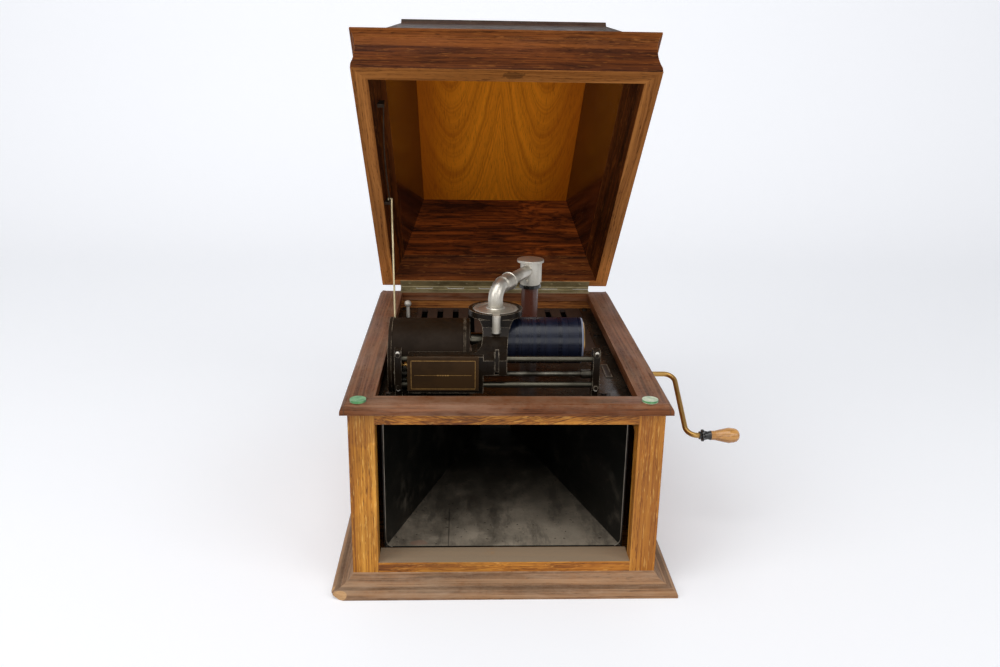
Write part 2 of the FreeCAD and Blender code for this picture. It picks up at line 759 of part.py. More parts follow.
def make_horn():
    z0 = bottom_rail_h + 0.3
    h = horn_wall
    t0 = throat_z - throat_w / 2
    t1 = throat_z + throat_w / 2
    outer = Part.makeLoft([rectangle_wire(mouth_w / 2, mouth_y, z0, mouth_top),
                           rectangle_wire(throat_w / 2, throat_y, t0, t1)], True, True)
    inner = Part.makeLoft([rectangle_wire(mouth_w / 2 - h, mouth_y, z0 + h, mouth_top - h),
                           rectangle_wire(throat_w / 2 - h, throat_y, t0 + h, t1 - h)], True, True)
    lip = box(-mouth_w / 2 - 1, mouth_w / 2 + 1, mouth_y - 1, mouth_y + 3, z0 - 0.3, mouth_top + 1)
    lip_hole = box(-mouth_w / 2 + h, mouth_w / 2 - h, mouth_y - 2, mouth_y + 4, z0 + h, mouth_top - h)
    pieces["horn"] = fuse([outer.cut(inner), lip.cut(lip_hole)])
    # the throat plate and a neck that doubles back over the horn and turns up to the pipe
    flange = box(-throat_w / 2 - 2, throat_w / 2 + 2, throat_y, throat_y + 3, t0 - 2, t1 + 2)
    back = throat_y + neck_back
    points = [V(0, throat_y + 1, throat_z), V(0, back, throat_z), V(0, back, neck_run_z),
              V(pipe_x, pipe_y, neck_run_z), V(pipe_x, pipe_y, pipe_foot_z)]
    turn = min(neck_turn, (neck_run_z - throat_z) / 2 - 1, pipe_foot_z - neck_run_z - 1)
    path = rounded_path(points, [turn, turn, turn])
    neck = sweep_round(path, neck_r)
    bore = sweep_round(path, neck_r - neck_wall)
    pieces["horn_elbow"] = fuse([flange, neck]).cut(bore).cut(
        rod(V(0, throat_y - 1, throat_z), V(0, throat_y + 4, throat_z), neck_r - neck_wall))


def make_tone_pipe():
    spigot = pipe_bore_r + 1.6
    spigot_top = pipe_top_z + collar_h + 9
    outline = [(pipe_bore_r, pipe_foot_z), (pipe_r, pipe_foot_z), (pipe_r, bed_top), (pipe_r + 9, bed_top),
               (pipe_r + 9, bed_top + 3), (pipe_r, bed_top + 5), (pipe_r, pipe_top_z),
               (spigot, pipe_top_z), (spigot, spigot_top), (pipe_bore_r, spigot_top)]
    pieces["tone_pipe"] = revolve_z(outline, pipe_x, pipe_y)
    pieces["pipe_collar"] = revolve_z([(spigot, pipe_top_z), (collar_r, pipe_top_z), (collar_r, pipe_top_z + collar_h),
                                       (spigot, pipe_top_z + collar_h)], pipe_x, pipe_y)


# Tone arm: swivel head with its tube, and the elbow on the reproducer

arm_dx = neck_x - pipe_x
arm_dy = mandrel_y - pipe_y
arm_len = math.hypot(arm_dx, arm_dy)
arm_way = V(arm_dx / arm_len, arm_dy / arm_len, 0)


def along_arm(distance_from_neck, z):
    return V(neck_x, mandrel_y, z).sub(arm_way * distance_from_neck)


def make_swivel():
    low = pipe_top_z + collar_h + 0.3
    bore = pipe_bore_r + 1.6 + running
    body = z_rod(pipe_x, pipe_y, low, head_z1, head_r)
    cap = z_rod(pipe_x, pipe_y, head_z1, head_z1 + cap_t, cap_r)
    cap = cap.makeFillet(0.9, [e for e in cap.Edges if e.BoundBox.ZMin > head_z1 + cap_t / 2])
    end = along_arm(arm_tube_from_neck, arm_z)
    root = V(pipe_x, pipe_y, arm_z)
    tube = rod(root, end, arm_tube_r)
    web = box(head_r * 0.55, cap_r - 0.6, -1.3, 1.3, 0, head_z1 - low)
    web.rotate(V(0, 0, 0), V(0, 0, 1), math.degrees(math.atan2(-arm_dy, -arm_dx)) - 35)
    web.translate(V(pipe_x, pipe_y, low))
    hollow = [z_rod(pipe_x, pipe_y, low - 1, pipe_top_z + collar_h + 10, bore),
              z_rod(pipe_x, pipe_y, low, arm_z, pipe_bore_r),
              rod(root, end.add(arm_way * 2), arm_tube_r - arm_tube_wall)]
    body = fuse([body, cap, tube, web])
    screw_at = V(pipe_x, pipe_y, low + 6).add(arm_way * (head_r - 0.5))
    screw = rod(screw_at, screw_at.add(arm_way * 4), 2.6)
    for cut in hollow:
        body = body.cut(cut)
    pieces["swivel_head"] = fuse([body, screw])


def onto_arm(shape):
    # takes a shape made along +X to the neck, pointing at the pipe
    turned = shape.copy()
    turned.rotate(V(0, 0, 0), V(0, 0, 1), math.degrees(math.atan2(-arm_dy, -arm_dx)))
    turned.translate(V(neck_x, mandrel_y, arm_z))
    return turned


def make_elbow():
    low = ring_z1 + 1.9
    bore = elbow_r - elbow_wall
    bend = rounded_path([V(neck_x, mandrel_y, low), V(neck_x, mandrel_y, arm_z), along_arm(elbow_turn + 1, arm_z)],
                        [elbow_turn])
    tube = sweep_round(bend, elbow_r).cut(sweep_round(bend, bore))
    x0 = elbow_turn + 1
    x1 = socket_end
    outline = [(x0, bore), (x0, elbow_r), (x0 + 2.5, socket_r), (x1 - bead_w, socket_r), (x1 - bead_w + 0.8, bead_r),
               (x1 - 0.8, bead_r), (x1, socket_r + 0.3), (x1, socket_bore_r), (x0 + 1.6, socket_bore_r)]
    socket = onto_arm(revolve_x(outline, 0, 0))
    foot = revolve_z([(elbow_r - 0.4, low), (elbow_r + 1.0, low), (elbow_r + 1.0, low + 1.2),
                      (elbow_r - 0.4, low + 1.8)], neck_x, mandrel_y)
    pieces["elbow"] = fuse([tube, socket, foot])


# Reproducer

def make_reproducer():
    x, y = neck_x, mandrel_y
    z0 = ring_z1 - disc_t
    top = ring_z1 + 1.6
    bore = nipple_r - 1.6
    outline = [(bore, z0), (disc_r, z0), (disc_r, ring_z1 - 1.2), (disc_r - 1.2, ring_z1), (disc_r - 4.5, ring_z1),
               (disc_r - 5.5, ring_z1 - 0.8), (11.5, ring_z1 + 0.4), (10.4, top), (nipple_r, top),
               (nipple_r, top + nipple_h), (bore, top + nipple_h)]
    disc = revolve_z(outline, x, y)
    front = y - ring_r
    tongue = prism([(x - 5.0, y - disc_r + 3), (x + 5.0, y - disc_r + 3), (x + 3.4, front - 9), (x - 3.4, front - 9)],
                   "xy", ring_z1, ring_z1 + 1.6)
    bob = z_rod(x, front - 5.5, ring_z1 - 19.5, ring_z1 + 0.4, 4.9)
    collar = z_rod(x, front - 5.5, ring_z1 - 15.5, ring_z1 - 13.5, 5.4)
    pin_y = y + weight_r - 2.0
    pin_z = z0 - weight_gap - weight_t / 2
    hinge_ear = box(x - 2, x + 2, pin_y - 1.6, pin_y + 1.6, pin_z - 1.2, z0)
    pin = x_rod(x - 6.2, x + 6.2, pin_y, pin_z, 0.8)
    pieces["reproducer_body"] = fuse([disc, tongue, bob, collar, hinge_ear, pin])
    # weight plate hinged at the back, with the stylus bar under it
    low = mandrel_z + record_r + stylus_gap
    top_w = z0 - weight_gap
    plate = z_rod(x, y, top_w - weight_t, top_w, weight_r)
    plate = plate.cut(box(x - 2.5, x + 2.5, pin_y - 2.4, pin_y + 5, top_w - 5, top_w + 1))
    plate = plate.cut(x_rod(x - 7, x + 7, pin_y, pin_z, 0.8 + running))
    stylus = Part.makeCone(0.4, 1.6, top_w - weight_t - low, V(x, y, low), V(0, 0, 1))
    pieces["reproducer_weight"] = fuse([plate, stylus])


# Carriage

def make_carriage():
    run = 0.08
    y = rod_y
    body = box(carriage_x0, carriage_x1 + 4, body_front, body_back, body_z0, body_z1)
    x = neck_x
    # front outline of the arm, with a foot on the upper rod, a waisted neck and the ring's underside
    right = x + 11.5
    outline = [(carriage_x1 - 3, arm_foot_z), (right, arm_foot_z)]
    outline += smooth_arc((right, upper_rod_z - 2.5), (x + 13.2, upper_rod_z + 15.5), (x + 18.5, ring_z0 - 0.5), 5)
    outline += [(x + 20, ring_z0 + 1), (x - 20, ring_z0 + 1)]
    outline += smooth_arc((x - 18.5, ring_z0 - 0.5), (x - 15.3, ring_z0 - 12.8), (x - 17.0, upper_rod_z + 12.5), 4)
    outline += [(x - 22, body_z1 + 2), (x - 32, body_z1 - 0.5), (carriage_x1 - 3, body_z1 - 6)]
    front_cut = prism(outline, "xz", body_front - 2, mandrel_y + ring_r)
    # side profile, from the foot on the rod back over the record's front to the ring
    neck_front = mandrel_y - ring_r + 0.6
    lean = smooth_arc((body_front, upper_rod_z + 1.5), (rod_y + 7, upper_rod_z + 11),
                      (mandrel_y - 37.5, ring_z0 - 16.8), 5)
    lean += [(neck_front, ring_z0 - 7.8), (neck_front, ring_z0 + 1)]
    back = [(neck_front + 7, ring_z0 + 1), (neck_front + 7, ring_z0 - 14.8), (mandrel_y - 29.4, mandrel_z + 4.5),
            (mandrel_y - 31.5, mandrel_z - 1.5), (body_back + 10.5, upper_rod_z - 4.5), (body_back, upper_rod_z - 7.5)]
    side = [(body_front, arm_foot_z)] + lean + back + [(body_back, arm_foot_z)]
    arm = front_cut.common(prism(side, "yz", x - 36, x + 30))
    arm = arm.cut(box(x - 40, drum_x1 + 1.5, body_back, mandrel_y, body_z0, ring_z0 - 5))
    ring = z_rod(x, mandrel_y, ring_z0, ring_z1, ring_r)
    hole = z_rod(x, mandrel_y, ring_z0 - 5, ring_z1 + 5, ring_bore_r)
    seat = z_rod(x, mandrel_y, ring_z0, ring_z1 - disc_t, ring_bore_r + 0.2).cut(
        z_rod(x, mandrel_y, ring_z0 - 1, ring_z1, ring_bore_r - 3.2))
    body = fuse([body, arm, ring]).cut(hole)
    body = fuse([body, seat])
    rods = [x_rod(carriage_x0 - 1, right + 1, y, upper_rod_z, upper_rod_r + run),
            x_rod(carriage_x0 - 1, right + 1, y, lower_rod_z, lower_rod_r + run)]
    bob_room = z_rod(x, mandrel_y - ring_r - 5.5, ring_z1 - 20.5, ring_z1 + 1, 6.2)
    channel = box(carriage_x0 - 1, right + 1, feed_y - feed_knob_r - 0.8, body_back + 1,
                  feed_z - feed_knob_r - 0.7, feed_z - feed_knob_r - 0.7 + feed_channel_h)
    shaft_bore = x_rod(nut_x0 - 1, lift_x + 3.4, lift_y, lift_z, lift_shaft_r + running)
    nut_room = box(nut_x0 - 0.5, nut_x1 + 0.5, lift_y - 3.6, body_back + 1, lift_z - 4, lift_z + 9)
    lever_room = box(lift_x - 2.6, lift_x + 2.6, body_front - 1, lift_y + 3.4, lift_z - 3.4, body_z1 + 6)
    for cut in rods + [bob_room, channel, shaft_bore, nut_room, lever_room]:
        body = body.cut(cut)
    pieces["carriage_arm"] = body
    plate = box(carriage_x0 - 0.8, carriage_x1 - 1, body_front - cover_t, body_front, body_z0 + 3.5, body_z1 + 0.6)
    edges = [e for e in plate.Edges if max(v.Y for v in e.Vertexes) < body_front - cover_t / 2]
    pieces["carriage_cover"] = plate.makeFillet(0.8, edges)


def make_lift_lever():
    # one shaft inside the carriage with the finger at the front and the half nut on the screw
    y = lift_y
    z = lift_z
    shaft = x_rod(nut_x0, lift_x + 2.0, y, z, lift_shaft_r)
    finger = prism([(y - 2.6, z - 2), (y + 2.0, z - 2), (y + 2.0, z + 2), (body_front + 1.2, z + 3.5),
                    (body_front + 1.2, body_z1 + 9), (body_front - 1.0, body_z1 + 9), (body_front - 1.0, z)],
                   "yz", lift_x - 2.0, lift_x + 2.0)
    jaw_low = feed_z + feed_r * 0.62
    arm = prism([(y - 2.8, z - 2.6), (y - 2.8, z + 3), (feed_y + 1.5, z + 3), (feed_y + 1.5, jaw_low),
                 (feed_y - 4, jaw_low), (feed_y - 4, z - 2.6)], "yz", nut_x0, nut_x1)
    arm = arm.cut(x_rod(nut_x0 - 1, nut_x1 + 1, feed_y, feed_z, feed_r + 0.25))
    pieces["lift_lever"] = fuse([shaft, finger, arm])


# Feed frame and feed screw

def make_end_plate(x, side):
    half = plate_w / 2
    y0 = rod_y - plate_d / 2
    y1 = rod_y + plate_d / 2
    r = 5.0
    bar = box(x - half, x + half, y0, y1, plate_z0, plate_z1)
    bar = bar.makeFillet(r, [e for e in bar.Edges if abs(e.Vertexes[0].Y - e.Vertexes[-1].Y) < 0.1
                             and abs(e.Vertexes[0].Z - e.Vertexes[-1].Z) < 0.1])
    reach = side * (half + foot_l)
    foot = box(min(x, x + reach), max(x, x + reach), foot_y - 6, foot_y + 6, bed_top, bed_top + foot_t)
    web = box(x - half, x + half, foot_y - 6, foot_y + 6, bed_top, plate_z0 + 8)
    lug = x_rod(x - half, x + half, feed_y, feed_z, feed_r + 1.0)
    plate = fuse([bar, foot, web, lug])
    screws = [rod(V(x, y0 - 1.4, z), V(x, y0, z), 2.6) for z in (plate_z0 + 5, plate_z1 - 5)]
    return fuse([plate.cut(x_rod(x - half - 1, x + half + 1, feed_y, feed_z, feed_r + running))] + screws)


def make_feed():
    pieces["end_plates"] = group([make_end_plate(left_plate_x, -1), make_end_plate(right_plate_x, 1)])
    x0 = left_plate_x + plate_w / 2
    x1 = right_plate_x - plate_w / 2
    pieces["guide_rods"] = group([x_rod(x0, x1, rod_y, upper_rod_z, upper_rod_r),
                                  x_rod(x0, x1, rod_y, lower_rod_z, lower_rod_r)])
    screw = x_rod(left_plate_x - plate_w / 2 - 2, right_plate_x + plate_w / 2 + 2, feed_y, feed_z, feed_r)
    wheel = gear(12, feed_x0, feed_x1, feed_y, feed_z, phases["feed"], 0, feed_tooth)
    knob = x_rod(x1 - feed_knob_l - 0.4, x1 - 0.4, feed_y, feed_z, feed_knob_r)
    pieces["feed_screw"] = fuse([screw, wheel, knob])
    idler = gear(28, feed_x0, feed_x1, *feed_idler_at, phases["feed_idler"], 3 + running, feed_tooth)
    pieces["feed_idler"] = idler


# Drive gears, mandrel and record

def make_mandrel():
    x0 = drive_x0 - 2
    shaft = x_rod(x0, mandrel_x0, mandrel_y, mandrel_z, shaft_r)
    collar = x_rod(drum_x1 + 1.5, mandrel_x0, mandrel_y, mandrel_z, 9.0)
    big = gear(28, drive_x0, drive_x1, mandrel_y, mandrel_z, phases["mandrel"], 0)
    small = gear(34, feed_x0, feed_x1, mandrel_y, mandrel_z, phases["mandrel_feed"], 0, feed_tooth)
    pieces["mandrel_shaft"] = fuse([shaft, collar, big, small])
    end = mandrel_x1
    taper = [(mandrel_x0, 0), (mandrel_x0, mandrel_big_r), (end - 2, mandrel_small_r), (end, mandrel_small_r - 2),
             (end, mandrel_small_r - 4.5), (end - 6, mandrel_small_r - 5.5), (end - 6, 6), (end - 3, 5), (end - 3, 0)]
    pieces["mandrel"] = revolve_x(taper, mandrel_y, mandrel_z)


def mandrel_radius(x):
    run = (mandrel_small_r - mandrel_big_r) / (mandrel_x1 - 2 - mandrel_x0)
    return mandrel_big_r + (x - mandrel_x0) * run


def make_record():
    x1 = record_x0 + record_l
    r0 = mandrel_radius(record_x0) + record_fit
    r1 = mandrel_radius(x1) + record_fit
    ends = 1.2
    outline = [(record_x0, r0), (record_x0, record_r - ends), (record_x0 + ends, record_r),
               (x1 - ends, record_r), (x1, record_r - ends), (x1, r1)]
    pieces["record"] = revolve_x(outline, mandrel_y, mandrel_z)


def make_drum_cover():
    def shell(r, x0, x1):
        solid = x_rod(x0, x1, mandrel_y, drum_z, r)
        return solid.cut(box(x0 - 1, x1 + 1, mandrel_y - 60, mandrel_y + 60, drum_z - 80, bed_top))
    outer = fuse([shell(drum_r, drum_x0, drum_x1), shell(drum_r + drum_rim_r, drum_x0, drum_x0 + drum_rim_w),
                  shell(drum_r + 0.7, drum_x1 - 7, drum_x1 - 5)])
    inner = x_rod(drum_x0 + drum_wall, drum_x1 - drum_wall, mandrel_y, drum_z, drum_r - drum_wall)
    cover = outer.cut(inner)
    cover = cover.cut(x_rod(drum_x1 - 5, drum_x1 + 5, mandrel_y, mandrel_z, 10.0))
    window = box(feed_x0 - 2, feed_x1 + 2, mandrel_y - 60, mandrel_y - 36, bed_top - 1, feed_z + 18)
    pieces["drum_cover"] = cover.cut(window)


def make_mandrel_bearing():
    posts = []
    for x0, studs in ((post_x, True), (post2_x, False)):
        x1 = x0 + post_w
        y = mandrel_y
        web = [(y - 28, bed_top), (y + 28, bed_top), (y + 28, bed_top + 5), (y + 10, mandrel_z), (y - 10, mandrel_z),
               (y - 28, bed_top + 5)]
        post = [prism(web, "yz", x0, x1), x_rod(x0, x1, y, mandrel_z, 10)]
        if studs:
            post.append(x_rod(drive_x0, x0 + 2, *drive_idler_at, 4))
            post.append(x_rod(feed_x0, x0 + 2, *feed_idler_at, 3))
            post.append(x_rod(x0, x1, *feed_idler_at, 6))
            post.append(x_rod(x0, x1, *drive_idler_at, 7))
        posts.append(fuse(post).cut(x_rod(x0 - 1, x1 + 1, y, mandrel_z, shaft_r + running)))
    pieces["mandrel_bearing"] = group(posts)


# Spring motor under the bedplate

def make_motor():
    inner = motor_x0
    outer = motor_x1
    t = motor_plate_t
    top = bed_low
    by, bz = barrel_at
    outline = [(drive_y - 12, top), (crank_y + 18, top), (crank_y + 18, crank_z - 20), (by + 14, bz - 14),
               (by - 14, bz - 14), (second_at[0] - 10, second_at[1] - 8), (drive_y - 12, drive_z - 14)]
    holes = {"barrel": (barrel_at, arbor_r), "second": (second_at, pivot_r), "drive": ((drive_y, drive_z), pivot_r)}
    plates = []
    for x0, x1, side in ((inner - t, inner, "inner"), (outer, outer + t, "outer")):
        plate = prism(outline, "yz", x0, x1)
        for centre, radius in holes.values():
            if side == "inner" and centre == (drive_y, drive_z):
                radius = drive_shaft_r
            plate = plate.cut(x_rod(x0 - 1, x1 + 1, *centre, radius + running))
        if side == "inner":
            plate = plate.cut(x_rod(x0 - 1, x1 + 1, *governor_at, 2.0 + running))
        else:
            plate = plate.cut(x_rod(x0 - 1, x1 + 1, crank_y, crank_z, crank_r + running))
        plates.append(plate)
    pillars = [x_rod(inner, outer, y, z, 3.0) for y, z in
               ((drive_y + 30, top - 6), (crank_y + 14, top - 4))]
    hanger = prism([(drive_y - 9, top), (drive_y + 9, top), (drive_y + 7, drive_z - 7), (drive_y - 7, drive_z - 7)],
                   "yz", hanger_x, hanger_x + 8)
    hanger = hanger.cut(x_rod(hanger_x - 1, hanger_x + 9, drive_y, drive_z, drive_shaft_r + running))
    gy, gz = governor_at
    post = prism([(gy - 6, top), (gy + 6, top), (gy + 5, gz - 5), (gy - 5, gz - 5)], "yz", governor_x0 - 8, governor_x0)
    post = post.cut(x_rod(governor_x0 - 9, governor_x0 + 1, gy, gz, 2.0 + running))
    pieces["motor_frame"] = group(plates + pillars + [hanger, post, governor_brake()])
    # winding wheel on the arbor
    wheel = gear(54, winding_x0, winding_x0 + gear_w, *barrel_at, phases["winding"], 0)
    arbor = x_rod(inner - t, outer + t, *barrel_at, arbor_r)
    pieces["winding_wheel"] = fuse([wheel, arbor])
    pinion = gear(24, winding_x0, winding_x0 + gear_w, crank_y, crank_z, phases["crank"], crank_r)
    pieces["winding_pinion"] = pinion
    # barrel with its toothed rim, and the mainspring inside
    great = gear(60, great_x0, great_x0 + gear_w, *barrel_at, phases["great"], 0)
    drum = x_rod(great_x0 + gear_w, great_x0 + gear_w + barrel_w, *barrel_at, barrel_r)
    inside = x_rod(great_x0 + barrel_wall, great_x0 + gear_w + barrel_w - barrel_wall, *barrel_at,
                   barrel_r - barrel_wall)
    bore = x_rod(great_x0 - 1, great_x0 + gear_w + barrel_w + 1, *barrel_at, arbor_r + running)
    pieces["spring_barrel"] = fuse([great, drum]).cut(inside).cut(bore)
    pieces["mainspring"] = make_mainspring(great_x0 + barrel_wall + 1, great_x0 + gear_w + barrel_w - barrel_wall - 1)
    # second wheel and pinion
    second = [gear(42, second_x0, second_x0 + 3, *second_at, phases["second"], 0),
              gear(12, second_x0 + 3, great_x0 + gear_w + 1, *second_at, phases["second_pinion"], 0),
              x_rod(inner - t, outer + t, *second_at, pivot_r)]
    pieces["second_wheel"] = fuse(second)
    shaft = [x_rod(drive_x0, inner + 0.3, drive_y, drive_z, drive_shaft_r),
             x_rod(inner, outer + t, drive_y, drive_z, pivot_r),
             gear(10, second_x0 - 1, second_x0 + 4, drive_y, drive_z, phases["drive_pinion"], 0),
             gear(28, drive_x0, drive_x1, drive_y, drive_z, phases["drive"], 0),
             gear(22, governor_gear_x0, governor_gear_x0 + 3, drive_y, drive_z, phases["governor_wheel"], 0)]
    pieces["drive_shaft"] = fuse(shaft)
    pieces["drive_idler"] = gear(29, drive_x0, drive_x1, *drive_idler_at, phases["drive_idler"], 4 + running)
    make_governor()


def make_mainspring(x0, x1):
    # flat spring wound from the arbor to the barrel wall, drawn with half turns
    y, z = barrel_at
    turns = 5
    strip = 1.2
    r0 = arbor_r + 2.5
    pitch = (barrel_r - barrel_wall - 1.0 - strip - r0) / turns
    inner_side = []
    outer_side = []
    for side, shift in ((inner_side, 0.0), (outer_side, strip)):
        start = r0 + shift
        centre = 0.0
        for k in range(2 * turns):
            radius = start + pitch * k / 2
            s = 1 if k % 2 == 0 else -1
            offset = centre
            side.append((offset, radius, s))
            centre = centre + s * pitch / 2
    edges = []
    for side in (inner_side, outer_side):
        for offset, radius, s in side:
            a = V(x0, y + offset + s * radius, z)
            m = V(x0, y + offset, z + s * radius)
            b = V(x0, y + offset - s * radius, z)
            edges.append(Part.Arc(a, m, b).toShape())
    first_in = edges[0].Vertexes[0].Point
    first_out = edges[2 * turns].Vertexes[0].Point
    last_in = edges[2 * turns - 1].Vertexes[-1].Point
    last_out = edges[-1].Vertexes[-1].Point
    edges.append(Part.LineSegment(first_in, first_out).toShape())
    edges.append(Part.LineSegment(last_in, last_out).toShape())
    wire = Part.Wire(Part.__sortEdges__(edges))
    return Part.Face(wire).extrude(V(x1 - x0, 0, 0))


def make_governor():
    y, z = governor_at
    x0 = governor_x0 - 8
    x1 = motor_x0
    parts = [x_rod(x0, x1, y, z, 2.0)]
    parts.append(gear(10, governor_gear_x0 - 0.5, governor_gear_x0 + 3.5, y, z, phases["governor"], 0))
    fixed = governor_x0 + 58
    sliding = governor_x0 + 14
    parts.append(x_rod(fixed, fixed + 5, y, z, 5.5))
    parts.append(x_rod(sliding, sliding + 5, y, z, 5.5))
    parts.append(x_rod(sliding - 2.5, sliding, y, z, governor_disc_r))
    mid = (sliding + fixed + 5) / 2
    for k in range(3):
        spring = prism([(sliding + 1, 4.5), (mid - 6, governor_r - 4.5), (mid + 6, governor_r - 4.5),
                        (fixed + 4, 4.5), (fixed + 4, 5.3), (mid + 6, governor_r - 3.7), (mid - 6, governor_r - 3.7),
                        (sliding + 1, 5.3)], "xz", -2, 2)
        ball = Part.makeCylinder(4.0, 9.0, V(mid - 4.5, 0, governor_r - 4.2), V(1, 0, 0))
        both = fuse([spring, ball])
        both.rotate(V(0, 0, 0), V(1, 0, 0), 120 * k)
        both.translate(V(0, y, z))
        parts.append(both)
    pieces["governor"] = fuse(parts)


def governor_brake():
    # bracket with a felt pad that rubs the governor's disc
    y, z = governor_at
    x1 = governor_x0 + 14 - 2.5
    arm = box(x1 - 5.0, x1 - 2.2, y - 3, y + 3, z + governor_disc_r - 5, bed_low)
    pad = x_rod(x1 - 2.5, x1 - 0.3, y, z + governor_disc_r - 2.6, 2.2)
    return fuse([arm, pad])


# Crank

def make_crank():
    y0, z0 = crank_y, crank_z
    points = [V(crank_in_x, y0, z0), V(crank_arm_x, y0, z0), V(crank_arm_x, handle_y, handle_z),
              V(crank_end_x + ferrule_l + handle_l - 4, handle_y, handle_z)]
    path = rounded_path(points, [crank_turn, crank_turn])
    pieces["crank_rod"] = sweep_round(path, crank_r)
    x = crank_end_x
    r = crank_r + 0.1
    ferrule = [(x, r), (x, 5.2), (x + 2.2, 5.2), (x + 3.0, 7.6), (x + 5.2, 7.9), (x + 6.6, 6.2),
               (x + 11, 5.2), (x + ferrule_l, 6.2), (x + ferrule_l, r)]
    pieces["crank_ferrule"] = revolve_x(ferrule, handle_y, handle_z)
    h0 = x + ferrule_l + 0.2
    shape = [(h0, r), (h0, handle_neck_r)]
    shape += smooth_arc((h0 + 5, handle_neck_r + 0.1), (h0 + handle_l * 0.38, handle_r * 0.82),
                        (h0 + handle_l * 0.62, handle_r), 4)
    shape += smooth_arc((h0 + handle_l * 0.80, handle_r * 0.92), (h0 + handle_l * 0.95, handle_r * 0.62),
                        (h0 + handle_l, 0), 4)
    shape += [(h0 + handle_l - 3.5, 0), (h0 + handle_l - 3.5, r)]
    pieces["crank_handle"] = revolve_x(shape, handle_y, handle_z)
    e = [(inside_x - 1.5, crank_r + running), (inside_x - 1.5, bush_r + 3), (inside_x, bush_r + 3), (inside_x, bush_r),
         (x_side, bush_r), (x_side, bush_r + 7), (x_side + 1.2, bush_r + 7), (x_side + 2.4, bush_r + 1),
         (x_side + 2.4, crank_r + running)]
    pieces["crank_escutcheon"] = revolve_x(e, crank_y, crank_z)


def make_start_lever():
    pivot_z = bed_low - 6
    stem = z_rod(lever_x, lever_y, pivot_z - 8, lever_ball_z, lever_r * 0.8)
    upper = Part.makeCone(lever_r, lever_r * 0.85, lever_ball_z - bed_top - 1, V(lever_x, lever_y, bed_top + 1),
                          V(0, 0, 1))
    ball = Part.makeSphere(lever_ball_r, V(lever_x, lever_y, lever_ball_z))
    hub = x_rod(lever_x - 2.5, lever_x + 2.5, lever_y, pivot_z, 4.5)
    whole = fuse([stem, upper, ball, hub]).cut(x_rod(lever_x - 6, lever_x + 6, lever_y, pivot_z, 1.8 + running))
    pieces["start_lever"] = whole
    ears = [box(lever_x + s * 4.4 - 1.4, lever_x + s * 4.4 + 1.4, lever_y - 5, lever_y + 5, pivot_z - 5, bed_low)
            for s in (-1, 1)]
    pin = x_rod(lever_x - 6.2, lever_x + 6.2, lever_y, pivot_z, 1.8)
    pieces["lever_bracket"] = fuse(ears + [pin])


# Places of the gears, which the makers above read

bush_r = crank_r + 3.0
crank_in_x = motor_x1 - 12
foot_l = 16.0
foot_t = 5.0
drive_x0, drive_x1 = -131.0, -125.5
feed_x0, feed_x1 = -117.5, -113.5
drive_shaft_r = 4.0
post_x, post2_x, post_w = -111.0, -56.0, 9.0
second_x0 = motor_x0 + 1.5
great_x0 = second_x0 + 3 + 2.5
winding_x0 = great_x0 + gear_w + barrel_w + 2.0
governor_gear_x0 = motor_x0 - motor_plate_t - 5
governor_x0 = 22.0
hanger_x = -116.0
nut_x0, nut_x1 = -80.0, -68.0
lift_x = neck_x + 0.0
lift_y = rod_y - 3.0
lift_z = (upper_rod_z + feed_z) / 2 - 1.0
lift_shaft_r = 1.8
foot_y = rod_y + 3.0

wind_span = pitch_r(24) + pitch_r(54)
barrel_at = (barrel_y, crank_z - math.sqrt(wind_span ** 2 - (crank_y - barrel_y) ** 2))
drive_at = (drive_y, drive_z)
mandrel_at = (mandrel_y, mandrel_z)
feed_at = (feed_y, feed_z)
crank_at = (crank_y, crank_z)
second_at = third_point(barrel_at, pitch_r(60) + pitch_r(12), drive_at, pitch_r(42) + pitch_r(10), 1)
drive_idler_at = third_point(mandrel_at, pitch_r(28) + pitch_r(29), drive_at, pitch_r(28) + pitch_r(29), -1)
feed_idler_at = third_point(mandrel_at, pitch_r(34 + 28, feed_tooth), feed_at, pitch_r(12 + 28, feed_tooth), 1)
governor_span = pitch_r(22) + pitch_r(10)
governor_at = (drive_y + governor_span * math.cos(-0.16), drive_z + governor_span * math.sin(-0.16))

phases = {"mandrel": 0.0, "mandrel_feed": 0.0, "crank": 0.0, "great": 0.0}
phases["drive_idler"] = meshed_phase(28, mandrel_at, 0.0, 29, drive_idler_at)
phases["drive"] = meshed_phase(29, drive_idler_at, phases["drive_idler"], 28, drive_at)
phases["feed_idler"] = meshed_phase(34, mandrel_at, 0.0, 28, feed_idler_at)
phases["feed"] = meshed_phase(28, feed_idler_at, phases["feed_idler"], 12, feed_at)
phases["winding"] = meshed_phase(24, crank_at, 0.0, 54, barrel_at)
phases["second_pinion"] = meshed_phase(60, barrel_at, 0.0, 12, second_at)
phases["second"] = 0.0
phases["drive_pinion"] = meshed_phase(42, second_at, 0.0, 10, drive_at)
phases["governor_wheel"] = 0.0
phases["governor"] = meshed_phase(22, drive_at, 0.0, 10, governor_at)

make_case()
make_top_frame()
shut_rim = make_lid()
make_hinge()
make_stay(shut_rim)
make_bedplate()
make_horn()
make_tone_pipe()
make_swivel()
make_elbow()
make_reproducer()
make_carriage()
make_lift_lever()
make_feed()
make_mandrel()
make_record()
make_drum_cover()
make_mandrel_bearing()
make_motor()
make_crank()
make_start_lever()

os.makedirs("parts", exist_ok=True)
for name, shape in pieces.items():
    shape.exportStep("parts/" + name + ".step")

pivot, tip, axis, sweep = stay_geometry()
print("pieces", len(pieces))
print("stay pivot", pivot, "axis", axis, "sweep", sweep, "ratio", sweep / open_angle)
print("barrel", barrel_at, "second", second_at, "drive idler", drive_idler_at)
print("feed idler", feed_idler_at, "governor", governor_at)
for name, shape in pieces.items():
    if not shape.isValid() or min(s.Volume for s in shape.Solids) <= 0:
        print("check", name, len(shape.Solids), shape.isValid())
